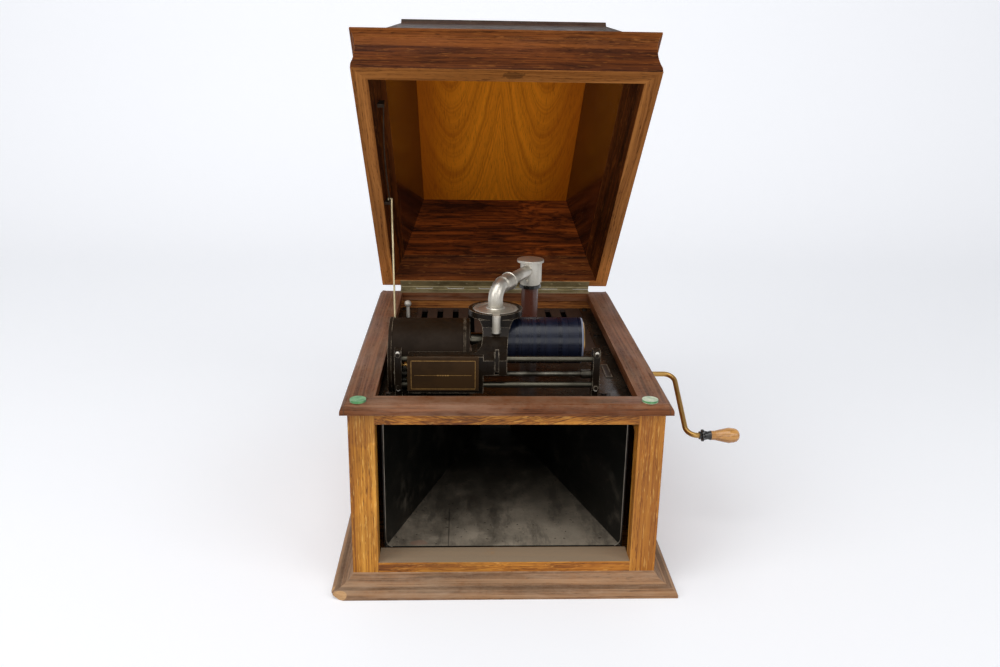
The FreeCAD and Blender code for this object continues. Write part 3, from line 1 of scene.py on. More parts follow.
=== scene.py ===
import math
import bmesh
import bpy
from mathutils import Matrix, Vector


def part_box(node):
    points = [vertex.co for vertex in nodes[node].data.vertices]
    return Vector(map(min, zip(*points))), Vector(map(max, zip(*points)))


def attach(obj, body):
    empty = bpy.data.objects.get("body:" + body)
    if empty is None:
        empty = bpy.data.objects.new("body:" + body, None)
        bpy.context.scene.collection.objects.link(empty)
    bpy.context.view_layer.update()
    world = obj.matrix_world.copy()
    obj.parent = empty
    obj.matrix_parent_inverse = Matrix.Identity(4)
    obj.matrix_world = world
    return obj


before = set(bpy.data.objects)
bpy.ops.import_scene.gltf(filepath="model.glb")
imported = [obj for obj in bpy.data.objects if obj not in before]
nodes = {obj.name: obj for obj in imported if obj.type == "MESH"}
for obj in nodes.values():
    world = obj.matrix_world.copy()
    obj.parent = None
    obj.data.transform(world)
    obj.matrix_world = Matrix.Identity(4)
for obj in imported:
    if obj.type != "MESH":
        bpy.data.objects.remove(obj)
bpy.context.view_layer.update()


# Small helpers

def tint(red, green, blue):
    # a colour given 0 to 255, as Blender's linear values
    def linear(value):
        value = value / 255
        return value / 12.92 if value <= 0.04045 else ((value + 0.055) / 1.055) ** 2.4
    return (linear(red), linear(green), linear(blue), 1.0)


def feed(tree, value, socket):
    # another node's output is linked, anything else is set
    if isinstance(value, bpy.types.NodeSocket):
        tree.links.new(value, socket)
    else:
        socket.default_value = value


def addNode(tree, kind, settings=None, **inputs):
    # an input goes by its name, or by its number as i0, i1 and so on
    node = tree.nodes.new(kind)
    for name, value in (settings or {}).items():
        setattr(node, name, value)
    for name, value in inputs.items():
        number = name[1:]
        feed(tree, value, node.inputs[int(number) if number.isdigit() else name.replace("_", " ")])
    return node


def maths(tree, operation, first, second=0.0, clamp=False):
    settings = {"operation": operation, "use_clamp": clamp}
    return addNode(tree, "ShaderNodeMath", settings, i0=first, i1=second).outputs[0]


def times(tree, first, second, clamp=False):
    return maths(tree, "MULTIPLY", first, second, clamp)


def plus(tree, first, second, clamp=False):
    return maths(tree, "ADD", first, second, clamp)


def minus(tree, first, second):
    return maths(tree, "SUBTRACT", first, second)


def absolute(tree, value):
    return maths(tree, "ABSOLUTE", value)


def vectorMaths(tree, operation, first, second=(0, 0, 0), output=0):
    settings = {"operation": operation}
    return addNode(tree, "ShaderNodeVectorMath", settings, i0=first, i1=second).outputs[output]


def axesOf(tree, vector):
    return addNode(tree, "ShaderNodeSeparateXYZ", {}, i0=vector).outputs


def together(tree, first, second, third):
    return addNode(tree, "ShaderNodeCombineXYZ", {}, i0=first, i1=second, i2=third).outputs[0]


def normalOf(tree):
    return tree.nodes.new("ShaderNodeNewGeometry").outputs["Normal"]


def spread(tree, value, low, high, outLow=0.0, outHigh=1.0):
    # from outLow at low to outHigh at high, with soft ends
    node = addNode(tree, "ShaderNodeMapRange", {"interpolation_type": "SMOOTHSTEP"}, Value=value)
    limits = {"From Min": low, "From Max": high, "To Min": outLow, "To Max": outHigh}
    for name, number in limits.items():
        node.inputs[name].default_value = number
    return node.outputs[0]


def between(tree, value, low, high):
    above = maths(tree, "GREATER_THAN", value, low)
    return times(tree, above, maths(tree, "LESS_THAN", value, high))


def blendColour(tree, factor, first, second, mode="MIX"):
    node = tree.nodes.new("ShaderNodeMix")
    node.data_type = "RGBA"
    node.blend_type = mode
    for number, value in ((0, factor), (6, first), (7, second)):
        feed(tree, value, node.inputs[number])
    return node.outputs[2]


def painted(tree, colour, mask, amount, paint):
    return blendColour(tree, times(tree, mask, amount), colour, paint)


def shaded(tree, colour, factor):
    grey = together(tree, factor, factor, factor)
    return blendColour(tree, 1.0, colour, grey, "MULTIPLY")


def stretched(tree, vector, scale, turn=(0, 0, 0), shift=(0, 0, 0)):
    node = addNode(tree, "ShaderNodeMapping", {}, Vector=vector)
    node.inputs["Location"].default_value = shift
    node.inputs["Rotation"].default_value = turn
    node.inputs["Scale"].default_value = scale
    return node.outputs[0]


def noise(tree, vector, scale, detail=4.0, rough=0.55):
    return addNode(tree, "ShaderNodeTexNoise", {}, Vector=vector, Scale=scale, Detail=detail,
                   Roughness=rough, Distortion=0.0).outputs[0]


def newGroup(name, inputs, outputs):
    tree = bpy.data.node_groups.new(name, "ShaderNodeTree")
    for label, kind, value in inputs:
        socket = tree.interface.new_socket(name=label, in_out="INPUT", socket_type=kind)
        if value is not None:
            socket.default_value = value
    for label in outputs:
        tree.interface.new_socket(name=label, in_out="OUTPUT", socket_type="NodeSocketFloat")
    given = tree.nodes.new("NodeGroupInput").outputs
    return tree, given, tree.nodes.new("NodeGroupOutput").inputs


def useGroup(tree, group, **inputs):
    node = tree.nodes.new("ShaderNodeGroup")
    node.node_tree = group
    for name, value in inputs.items():
        feed(tree, value, node.inputs[name])
    return node.outputs


def newMaterial(name, **shader):
    material = bpy.data.materials.new(name)
    material.use_nodes = True
    tree = material.node_tree
    surface = tree.nodes["Principled BSDF"]
    for label, value in shader.items():
        surface.inputs[label.replace("_", " ")].default_value = value
    place = tree.nodes.new("ShaderNodeTexCoord").outputs["Object"]
    return material, tree, surface, place


def bumped(tree, surface, height, strength, distance):
    node = addNode(tree, "ShaderNodeBump", {}, Height=height, Strength=strength, Distance=distance)
    tree.links.new(node.outputs[0], surface.inputs["Normal"])


# Shared effects

def makeGrain():
    # open-pored oak whose grain runs along the vector's X, in metres
    tree, given, out = newGroup(
        "oakGrain", [("Vector", "NodeSocketVector", None), ("Wander", "NodeSocketFloat", 0.003)],
        ["Figure", "Pores", "Rays", "Height"])
    drift = noise(tree, stretched(tree, given["Vector"], (5, 18, 18)), 1.0, 3.0, 0.5)
    push = times(tree, minus(tree, drift, 0.5), given["Wander"])
    shift = together(tree, 0.0, times(tree, push, 2.0), push)
    moved = vectorMaths(tree, "ADD", given["Vector"], shift)
    fine = noise(tree, stretched(tree, moved, (5, 430, 330)), 1.0, 3.0, 0.6)
    wide = noise(tree, stretched(tree, moved, (2.5, 90, 80)), 1.0, 3.0, 0.55)
    figure = plus(tree, times(tree, spread(tree, fine, 0.32, 0.68), 0.5),
                  times(tree, spread(tree, wide, 0.3, 0.7), 0.5))
    dashes = noise(tree, stretched(tree, moved, (95, 1150, 1000)), 1.0, 2.0, 0.5)
    pores = times(tree, spread(tree, dashes, 0.54, 0.66), spread(tree, fine, 0.66, 0.40))
    short = stretched(tree, moved, (70, 620, 600), shift=(3.1, 1.7, 0.4))
    flecks = noise(tree, short, 1.0, 2.0, 0.45)
    tree.links.new(figure, out["Figure"])
    tree.links.new(pores, out["Pores"])
    tree.links.new(spread(tree, flecks, 0.60, 0.70), out["Rays"])
    tree.links.new(minus(tree, times(tree, figure, 0.3), pores), out["Height"])
    return tree


def makeEdgeWearAndLight():
    # bright edges where the finish is rubbed, and on the japanned parts also a painted highlight,
    # from the rounding that a bevel would give
    tree, given, out = newGroup(
        "rubbedAndLitEdges", [("Vector", "NodeSocketVector", None), ("Radius", "NodeSocketFloat", 0.001)],
        ["Mask"])
    rounded = addNode(tree, "ShaderNodeBevel", {"samples": 6}, Radius=given["Radius"]).outputs[0]
    same = vectorMaths(tree, "DOT_PRODUCT", rounded, normalOf(tree), "Value")
    edge = spread(tree, same, 0.995, 0.90)
    patchy = spread(tree, noise(tree, given["Vector"], 90.0, 4.0, 0.6), 0.35, 0.62)
    tree.links.new(times(tree, edge, patchy, True), out["Mask"])
    return tree


def makeDust():
    # dust on faces that look up
    tree, given, out = newGroup(
        "settledDust", [("Vector", "NodeSocketVector", None), ("Amount", "NodeSocketFloat", 0.5)],
        ["Mask"])
    up = axesOf(tree, normalOf(tree))[2]
    clouds = noise(tree, given["Vector"], 28.0, 6.0, 0.65)
    specks = noise(tree, given["Vector"], 260.0, 3.0, 0.7)
    both = plus(tree, times(tree, clouds, 0.7), times(tree, specks, 0.45))
    both = plus(tree, both, times(tree, given["Amount"], 0.3))
    mask = times(tree, spread(tree, up, 0.2, 0.95), spread(tree, both, 0.46, 0.80))
    tree.links.new(times(tree, mask, given["Amount"], True), out["Mask"])
    return tree


oakGrain = makeGrain()
rubbedAndLitEdges = makeEdgeWearAndLight()
settledDust = makeDust()
print("shared effects made")


def weatheredAndEdgeLit(tree, colour, place, edgeWearAndHighlight, wearAndHighlightColour, edge, dust, dustColour):
    # rubbed edges, on the japanned parts also a painted edge highlight, and settled dust over a
    # colour, where the finish has them
    if edgeWearAndHighlight:
        mask = useGroup(tree, rubbedAndLitEdges, Vector=place, Radius=edge)["Mask"]
        colour = painted(tree, colour, mask, edgeWearAndHighlight, wearAndHighlightColour)
    if dust:
        mask = useGroup(tree, settledDust, Vector=place, Amount=dust)["Mask"]
        colour = blendColour(tree, mask, colour, dustColour)
    return colour


def nearSpot(tree, local, centre, size, ragged=0.006):
    # 1 inside an ellipsoid about centre, with a ragged edge
    scaled = vectorMaths(tree, "DIVIDE", vectorMaths(tree, "SUBTRACT", local, centre), size)
    far = vectorMaths(tree, "LENGTH", scaled, output="Value")
    rough = times(tree, minus(tree, noise(tree, local, 150.0, 4.0), 0.5), ragged * 110)
    return spread(tree, plus(tree, far, rough), 1.0, 0.8)


# Wood finishes

lidTurn = {"angle": math.radians(46), "hingeY": 0.2375, "hingeZ": 0.235}
mitres = {
    "frame": {"outer": (0.180, -0.2375, 0.2375), "reach": (0.036, 0.027, 0.016)},
    "base": {"outer": (0.1965, -0.254, 0.254), "reach": (0.024, 0.024, 0.024)},
    "lid": {"outer": (0.175, -0.2269, 0.2375), "reach": (0.05, 0.05, 0.05)},
}
woodEdge = 0.0016
woodDust = tint(156, 136, 112)
# near black painted shade for wood hidden inside the case
paintedInsideShade = tint(12, 8, 5)
freshWood = (tint(160, 118, 76), tint(206, 166, 120))


def alongStrips(tree, place, joint):
    # grain along X on the front and back strips and along Y on the side strips
    x, y, z = axesOf(tree, place)
    outX, front, back = joint["outer"]
    sideIn, frontIn, backIn = joint["reach"]
    fromSide = maths(tree, "DIVIDE", minus(tree, outX, absolute(tree, x)), sideIn)
    fromFront = maths(tree, "DIVIDE", minus(tree, y, front), frontIn)
    fromBack = maths(tree, "DIVIDE", minus(tree, back, y), backIn)
    onSide = maths(tree, "LESS_THAN", fromSide, maths(tree, "MINIMUM", fromFront, fromBack))
    mixed = tree.nodes.new("ShaderNodeMix")
    mixed.data_type = "VECTOR"
    tree.links.new(onSide, mixed.inputs[0])
    tree.links.new(together(tree, x, y, z), mixed.inputs[4])
    tree.links.new(together(tree, y, x, z), mixed.inputs[5])
    return mixed.outputs[1]


def inShutLid(tree, place):
    # the lid's places as they are with the lid shut
    turn = lidTurn["angle"]
    y, z = lidTurn["hingeY"], lidTurn["hingeZ"]
    shift = (0, y - (y * math.cos(turn) - z * math.sin(turn)),
             z - (y * math.sin(turn) + z * math.cos(turn)))
    return stretched(tree, place, (1, 1, 1), (turn, 0, 0), shift)


def veined(tree, colour, x, z, streaks):
    # slanting dark lines that meet in a V, above one height
    fall = times(tree, absolute(tree, minus(tree, x, streaks["middle"])), streaks["slope"])
    along = together(tree, times(tree, x, 40.0), times(tree, minus(tree, z, fall), 620.0), 0.0)
    threads = spread(tree, noise(tree, along, 1.0, 3.0), 0.5, 0.62)
    on = times(tree, maths(tree, "GREATER_THAN", z, streaks["above"]), threads)
    return painted(tree, colour, on, 0.8, streaks["colour"])


def woodMaterial(name, dark, mid, light, pore, run="x", joint=None, lid=False, roughness=0.42,
                 specular=0.25, coat=0.1, coatRough=0.2, coatIor=1.5, wander=0.004, poreDepth=0.6,
                 rays=0.3, rayColour=None, worn=0.0, edgeWearAndHighlight=0.0, wearAndHighlightColour=None, dust=0.0,
                 bands=(), streaks=None, gain=None, insideShade=None, sides=None, lines=(), stains=(),
                 chips=()):
    material, tree, surface, place = newMaterial(
        name, Specular_IOR_Level=specular, Coat_Weight=coat, Coat_Roughness=coatRough,
        Coat_IOR=coatIor)
    local = inShutLid(tree, place) if lid else place
    axes = tuple(axesOf(tree, local))
    x, y, z = axes
    if joint:
        grainWay = alongStrips(tree, local, mitres[joint])
    else:
        grainWay = together(tree, *{"x": (x, y, z), "y": (y, x, z), "z": (z, x, y)}[run])
    grain = useGroup(tree, oakGrain, Vector=grainWay, Wander=wander)
    ramp = addNode(tree, "ShaderNodeValToRGB", {}, Fac=grain["Figure"])
    stops = ramp.color_ramp.elements
    stops[0].color = dark
    stops[0].position = 0.12
    stops[1].color = light
    stops[1].position = 0.88
    stops.new(0.5).color = mid
    cloudy = spread(tree, noise(tree, local, 11.0, 3.0), 0.3, 0.7, 0.8, 1.12)
    colour = shaded(tree, ramp.outputs[0], cloudy)
    for low, high, bandDark, bandLight in bands:
        # a strip between two heights that is paler or darker than the rest
        strip = blendColour(tree, grain["Figure"], bandDark, bandLight)
        colour = painted(tree, colour, between(tree, z, low, high), 0.9, strip)
    if streaks:
        colour = veined(tree, colour, x, z, streaks)
    colour = painted(tree, colour, grain["Rays"], rays, rayColour or light)
    colour = painted(tree, colour, grain["Pores"], poreDepth, pore)
    if gain:
        # brighter or darker along one axis
        axis, *limits = gain
        colour = shaded(tree, colour, spread(tree, axes[axis], *limits))
    if insideShade:
        # painted shade: the hidden side that faces the dark inside of the case is painted near
        # black
        inside = times(tree, maths(tree, "LESS_THAN", y, insideShade["y"]),
                       maths(tree, "LESS_THAN", z, insideShade["z"]))
        colour = blendColour(tree, inside, colour, paintedInsideShade)
    if sides:
        # painted light and shade by which way a face looks: the slope at the back is painted
        # lighter and the sloping sides darker; the sides are glossy, the slope at the back is plain
        across = spread(tree, absolute(tree, axesOf(tree, normalOf(tree))[0]), 0.2, 0.5)
        paintedSlopeLight = blendColour(tree, across, sides["back"], sides["side"])
        colour = blendColour(tree, 1.0, colour, paintedSlopeLight, "MULTIPLY")
        tree.links.new(times(tree, across, coat), surface.inputs["Coat Weight"])
    for axis, centre, half, amount, stripe in lines:
        # a thin stripe at one distance from the middle
        off = absolute(tree, minus(tree, absolute(tree, axes[axis]), centre))
        on = spread(tree, off, half, half * 0.4, 0.0, amount)
        colour = blendColour(tree, on, colour, stripe)
    for centre, size, amount, stain, *ragged in stains:
        near = nearSpot(tree, local, centre, size, *ragged)
        colour = painted(tree, colour, near, amount, stain)
    if worn:
        rubbed = noise(tree, stretched(tree, grainWay, (9, 40, 40)), 1.0, 5.0, 0.65)
        on = spread(tree, rubbed, 0.46, 0.70, 0.0, worn)
        colour = blendColour(tree, on, colour, wearAndHighlightColour)
    colour = weatheredAndEdgeLit(tree, colour, local, edgeWearAndHighlight, wearAndHighlightColour, woodEdge, dust, woodDust)
    height = grain["Height"]
    for centre, size in chips:
        # broken wood, pale and sunk
        near = nearSpot(tree, local, centre, size, 0.002)
        splinters = noise(tree, stretched(tree, local, (220, 700, 700)), 1.0, 3.0)
        colour = blendColour(tree, near, colour, blendColour(tree, splinters, *freshWood))
        height = minus(tree, height, times(tree, near, 2.0))
    tree.links.new(colour, surface.inputs["Base Color"])
    patchy = spread(tree, noise(tree, local, 14.0, 4.0), 0.3, 0.7,
                    roughness - 0.07, roughness + 0.10)
    rough = plus(tree, times(tree, grain["Pores"], 0.2), patchy)
    tree.links.new(rough, surface.inputs["Roughness"])
    bumped(tree, surface, height, 0.3, 0.0003)
    return material


finishes = {}
finishes["stile"] = woodMaterial(
    "goldenOakUpright", tint(144, 84, 22), tint(190, 124, 38), tint(216, 152, 60),
    tint(92, 48, 12), run="z", wander=0.003, rays=0.55, rayColour=tint(234, 182, 96),
    poreDepth=0.75, edgeWearAndHighlight=0.5, wearAndHighlightColour=tint(120, 72, 34),
    stains=[((0.158, -0.23, 0.1), (0.03, 0.02, 0.16), 0.28, tint(140, 74, 34)),
            ((-0.158, -0.23, 0.205), (0.03, 0.02, 0.03), 0.3, tint(110, 58, 26))])
finishes["rail"] = woodMaterial(
    "goldenOakRail", tint(112, 60, 16), tint(170, 104, 34), tint(206, 140, 52),
    tint(60, 28, 8), wander=0.03, rays=0.5, rayColour=tint(224, 164, 84), edgeWearAndHighlight=0.3,
    wearAndHighlightColour=tint(120, 70, 30), dust=0.95,
    streaks={"middle": -0.03, "slope": 0.28, "above": 0.2, "colour": tint(92, 46, 10)},
    lines=[(2, 0.0338, 0.0006, 0.6, tint(70, 44, 24))],
    stains=[((-0.128, -0.218, 0.0335), (0.012, 0.009, 0.004), 0.8, tint(40, 30, 20), 0.012)])
finishes["side"] = woodMaterial(
    "goldenOakSide", tint(112, 62, 20), tint(152, 92, 34), tint(180, 118, 50),
    tint(80, 42, 14), run="y", wander=0.02)
finishes["inside"] = woodMaterial(
    "plainBoard", tint(104, 62, 26), tint(146, 94, 42), tint(176, 118, 60),
    tint(60, 34, 14), roughness=0.7, coat=0.0)
# the lower inner side of the back panel is painted near black as painted shade
finishes["back"] = woodMaterial(
    "backPanelOak", tint(112, 60, 22), tint(160, 98, 42), tint(190, 126, 62),
    tint(60, 30, 12), roughness=0.6, coat=0.0, wander=0.012,
    insideShade={"y": 0.2285, "z": 0.2035})
finishes["frame"] = woodMaterial(
    "wornFrameOak", tint(76, 40, 20), tint(110, 64, 36), tint(134, 84, 52),
    tint(52, 26, 13), joint="frame", roughness=0.5, specular=0.12, coat=0.0, worn=0.6,
    wearAndHighlightColour=tint(142, 106, 84), edgeWearAndHighlight=0.5, dust=0.22, rays=0.2,
    lines=[(0, 0.1752, 0.0011, 0.55, tint(74, 54, 42))],
    stains=[((0.100, -0.226, 0.229), (0.022, 0.0055, 0.01), 0.75, tint(38, 26, 20)),
            ((0.016, -0.229, 0.229), (0.012, 0.004, 0.01), 0.45, tint(46, 30, 22)),
            ((0.0, -0.224, 0.229), (0.13, 0.014, 0.014), 0.65, tint(106, 58, 26))])
finishes["base"] = woodMaterial(
    "dustyBaseOak", tint(104, 70, 44), tint(142, 102, 68), tint(168, 128, 92),
    tint(76, 48, 30), joint="base", roughness=0.6, coat=0.0, worn=0.55,
    wearAndHighlightColour=tint(172, 144, 118), edgeWearAndHighlight=0.45, dust=0.3, rays=0.15,
    lines=[(2, 0.0099, 0.0011, 0.6, tint(70, 48, 34))],
    chips=[((-0.186, -0.2525, 0.0055), (0.0095, 0.005, 0.0072)),
           ((-0.1955, -0.2415, 0.011), (0.004, 0.0065, 0.0075))])
finishes["lidOut"] = woodMaterial(
    "darkLidOak", tint(42, 18, 6), tint(72, 34, 11), tint(98, 50, 17),
    tint(26, 10, 4), joint="lid", lid=True, roughness=0.46, specular=0.06, coat=0.0,
    wander=0.008, rays=0.28, rayColour=tint(160, 100, 44), edgeWearAndHighlight=0.7,
    wearAndHighlightColour=tint(150, 94, 46), gain=(1, 0.10, 0.20, 1.0, 1.7),
    bands=[(0.0, 0.2354, tint(122, 70, 28), tint(186, 122, 62)),
           (0.2722, 1.0, tint(72, 36, 12), tint(128, 70, 26))],
    stains=[((0.006, -0.2185, 0.235), (0.013, 0.0065, 0.0014), 0.5, tint(44, 26, 14), 0.016)])
finishes["lidTop"] = woodMaterial(
    "darkLidTop", tint(30, 18, 12), tint(48, 28, 19), tint(64, 40, 28),
    tint(20, 12, 8), joint="lid", lid=True, roughness=0.4, specular=0.15, coat=0.0, edgeWearAndHighlight=0.4,
    wearAndHighlightColour=tint(110, 76, 50), dust=0.12)
# the sides factors paint the back slope lighter and the side slopes darker, as painted light and
# shade
finishes["lidIn"] = woodMaterial(
    "glossyLidSlope", tint(34, 14, 5), tint(70, 33, 10), tint(108, 56, 20),
    tint(22, 9, 3), joint="lid", lid=True, roughness=0.5, specular=0.05, coat=1.0,
    coatRough=0.16, coatIor=2.1, wander=0.02, poreDepth=0.7, rays=0.15,
    sides={"back": (2.3, 1.9, 1.5, 1), "side": (0.42, 0.34, 0.42, 1)})

arches = {"half": 0.064, "front": -0.26, "rise": 0.16, "sway": 0.022, "scale": 190.0}
gluedEdge = -0.091


def panelMaterial():
    # flat-sawn board with nested arches of fine grain, between the sloping boards of the lid
    material, tree, surface, place = newMaterial(
        "archedPanelOak", Roughness=0.45, Coat_Weight=0.0, Specular_IOR_Level=0.1)
    local = inShutLid(tree, place)
    x, y, z = axesOf(tree, local)
    sway = minus(tree, noise(tree, stretched(tree, local, (16, 5, 1)), 1.0, 3.0), 0.5)
    folded = minus(tree, absolute(tree, x), arches["half"])
    across = plus(tree, folded, times(tree, sway, arches["sway"]))
    reach = times(tree, minus(tree, y, arches["front"]), arches["rise"])
    away = plus(tree, times(tree, across, across), times(tree, reach, reach))
    ring = together(tree, maths(tree, "SQRT", away), 0.0, 0.0)
    band = spread(tree, noise(tree, ring, arches["scale"], 3.0, 0.7), 0.35, 0.65)
    fine = noise(tree, stretched(tree, local, (1100, 60, 30)), 1.0, 2.0)
    edge = spread(tree, absolute(tree, x), 0.03, 0.12)
    colour = blendColour(tree, edge, tint(240, 143, 28), tint(190, 100, 14))
    colour = painted(tree, colour, band, 0.6, tint(168, 84, 14))
    threads = spread(tree, fine, 0.52, 0.72, 0.0, 0.5)
    colour = blendColour(tree, threads, colour, tint(126, 62, 10))
    glued = maths(tree, "LESS_THAN", x, gluedEdge)
    colour = painted(tree, colour, glued, 0.25, tint(170, 88, 20))
    tree.links.new(colour, surface.inputs["Base Color"])
    bumped(tree, surface, minus(tree, fine, band), 0.12, 0.0002)
    return material


finishes["panel"] = panelMaterial()
print("woods made")


# Metals, paint, felt and wax

metalEdge = 0.0009
metalDust = tint(96, 82, 68)
pitColour = tint(48, 38, 28)


def metalMaterial(name, colour, dull, roughness=0.3, metallic=1.0, cloud=30.0, dust=0.0,
                  coat=0.0, spots=0.15, edgeWearAndHighlight=0.0, wearAndHighlightColour=None, specular=0.5):
    material, tree, surface, place = newMaterial(
        name, Metallic=metallic, Coat_Weight=coat, Coat_Roughness=0.12,
        Specular_IOR_Level=specular)
    patches = spread(tree, noise(tree, place, cloud, 6.0, 0.6), 0.42, 0.68)
    mixed = painted(tree, colour, patches, 0.7, dull)
    pits = spread(tree, noise(tree, place, 420.0, 2.0, 0.5), 0.66, 0.74, 0.0, spots)
    mixed = blendColour(tree, pits, mixed, pitColour)
    mixed = weatheredAndEdgeLit(tree, mixed, place, edgeWearAndHighlight, wearAndHighlightColour, metalEdge, dust, metalDust)
    tree.links.new(mixed, surface.inputs["Base Color"])
    rough = spread(tree, noise(tree, place, cloud * 2, 5.0), 0.3, 0.7,
                   roughness * 0.8, roughness * 1.3)
    tree.links.new(rough, surface.inputs["Roughness"])
    bumped(tree, surface, noise(tree, place, 300, 3.0), 0.1, 0.0002)
    return material


# on the japanned arm, drum and cover the pale edge colour is partly rubbed japan and partly a
# painted highlight along the edges
finishes["japan"] = metalMaterial(
    "blackBrownJapan", tint(26, 19, 12), tint(17, 12, 8), roughness=0.24, metallic=0.0,
    dust=0.1, edgeWearAndHighlight=0.85, wearAndHighlightColour=tint(168, 154, 134), spots=0.1, specular=0.12)
finishes["drum"] = metalMaterial(
    "drumJapan", tint(32, 22, 13), tint(24, 16, 9), roughness=0.4, metallic=0.0,
    dust=0.06, edgeWearAndHighlight=0.85, wearAndHighlightColour=tint(160, 144, 122), spots=0.1, specular=0.05)
finishes["cover"] = metalMaterial(
    "coverJapan", tint(56, 39, 22), tint(42, 29, 16), roughness=0.36, metallic=0.0,
    edgeWearAndHighlight=0.8, wearAndHighlightColour=tint(160, 144, 122), specular=0.08)
finishes["bed"] = metalMaterial(
    "bedJapan", tint(22, 17, 13), tint(14, 11, 9), roughness=0.22, metallic=0.0,
    dust=0.3, edgeWearAndHighlight=0.4, wearAndHighlightColour=tint(110, 96, 80), spots=0.1, specular=0.35)
finishes["nickel"] = metalMaterial(
    "wornNickel", tint(206, 200, 188), tint(158, 150, 134), roughness=0.42, metallic=0.9,
    spots=0.3)
finishes["pale"] = metalMaterial(
    "paleNickel", tint(214, 208, 196), tint(180, 172, 156), roughness=0.5, metallic=0.4)
finishes["steel"] = metalMaterial(
    "oiledSteel", tint(132, 126, 116), tint(90, 84, 74), roughness=0.34)
finishes["blued"] = metalMaterial("bluedSpring", tint(60, 68, 92), tint(50, 50, 58))
finishes["brass"] = metalMaterial(
    "wornBrass", tint(186, 146, 84), tint(140, 104, 52), roughness=0.36)
finishes["wire"] = metalMaterial(
    "paleWire", tint(200, 184, 146), tint(150, 134, 98), roughness=0.4)
finishes["hinge"] = metalMaterial(
    "agedHinge", tint(176, 162, 124), tint(122, 108, 76), roughness=0.5, metallic=0.5,
    spots=0.6)
finishes["track"] = metalMaterial(
    "darkTrack", tint(62, 48, 34), tint(40, 30, 20), roughness=0.4, metallic=0.7)
finishes["pipe"] = metalMaterial(
    "maroonEnamel", tint(84, 46, 34), tint(66, 36, 25), metallic=0.0, coat=0.3,
    spots=0.05, specular=0.4)
finishes["collar"] = metalMaterial(
    "blackEnamel", tint(20, 18, 16), tint(14, 13, 12), roughness=0.22, metallic=0.0,
    coat=0.3, spots=0.0)
finishes["rod"] = metalMaterial(
    "darkRod", tint(92, 88, 76), tint(40, 38, 32), roughness=0.36, cloud=12.0)
finishes["gold"] = metalMaterial(
    "goldLine", tint(176, 134, 72), tint(104, 74, 38), roughness=0.5, metallic=0.3,
    cloud=260.0)

hornSeam = {"x": -0.065, "half": (0.0012, 0.0004), "from": (-0.10, -0.12)}
hornScrape = {"centre": (-0.100, -0.190, 0.034), "size": (0.012, 0.006, 0.008), "ragged": 0.008}


def hornMaterial():
    # black sheet under dust that is thickest on the floor and thins inward
    material, tree, surface, place = newMaterial(
        "dustyHornBlack", Roughness=0.5, Specular_IOR_Level=0.25)
    up = axesOf(tree, normalOf(tree))[2]
    x, y, z = axesOf(tree, place)
    streaks = noise(tree, stretched(tree, place, (16, 5, 16)), 1.0, 6.0, 0.65)
    clouds = noise(tree, place, 24.0, 7.0, 0.7)
    both = plus(tree, times(tree, streaks, 0.6), times(tree, clouds, 0.5))
    film = spread(tree, both, 0.38, 0.66, 0.3, 1.0)
    inward = spread(tree, y, 0.05, -0.185, 0.05, 1.0)
    floor = times(tree, times(tree, spread(tree, up, 0.6, 0.95), film), inward)
    walls = times(tree, spread(tree, clouds, 0.50, 0.8), spread(tree, z, 0.15, 0.03, 0.08, 0.34))
    dust = plus(tree, times(tree, floor, 0.9), walls, True)
    colour = blendColour(tree, dust, tint(14, 14, 12), tint(158, 146, 128))
    wiped = stretched(tree, place, (30, 9, 30), (0, 0, 0.5))
    smears = spread(tree, noise(tree, wiped, 1.0, 6.0, 0.7), 0.5, 0.62)
    colour = painted(tree, colour, smears, 0.42, tint(26, 24, 21))
    off = absolute(tree, minus(tree, x, hornSeam["x"]))
    seam = times(tree, spread(tree, off, *hornSeam["half"]), spread(tree, y, *hornSeam["from"]))
    colour = painted(tree, colour, seam, 0.6, tint(28, 25, 22))
    crumbs = spread(tree, noise(tree, place, 190.0, 2.0, 0.4), 0.685, 0.72)
    colour = painted(tree, colour, crumbs, 0.75, tint(34, 28, 24))
    scrape = nearSpot(tree, place, hornScrape["centre"], hornScrape["size"], hornScrape["ragged"])
    colour = painted(tree, colour, scrape, 0.6, tint(140, 110, 92))
    tree.links.new(colour, surface.inputs["Base Color"])
    tree.links.new(spread(tree, dust, 0.0, 1.0, 0.32, 0.8), surface.inputs["Roughness"])
    bumped(tree, surface, plus(tree, clouds, crumbs), 0.25, 0.0006)
    return material


def feltMaterial(name, deep, pale):
    material, tree, surface, place = newMaterial(name, Roughness=0.95, Sheen_Weight=0.4)
    fibres = noise(tree, place, 900.0, 3.0, 0.7)
    patches = spread(tree, noise(tree, place, 160.0, 4.0), 0.3, 0.7)
    colour = blendColour(tree, patches, deep, pale)
    tree.links.new(colour, surface.inputs["Base Color"])
    bumped(tree, surface, fibres, 0.6, 0.0006)
    return material


recordLook = {"middle": 0.0397, "grooved": 0.048, "grooves": 9000.0, "rim": 0.0915}


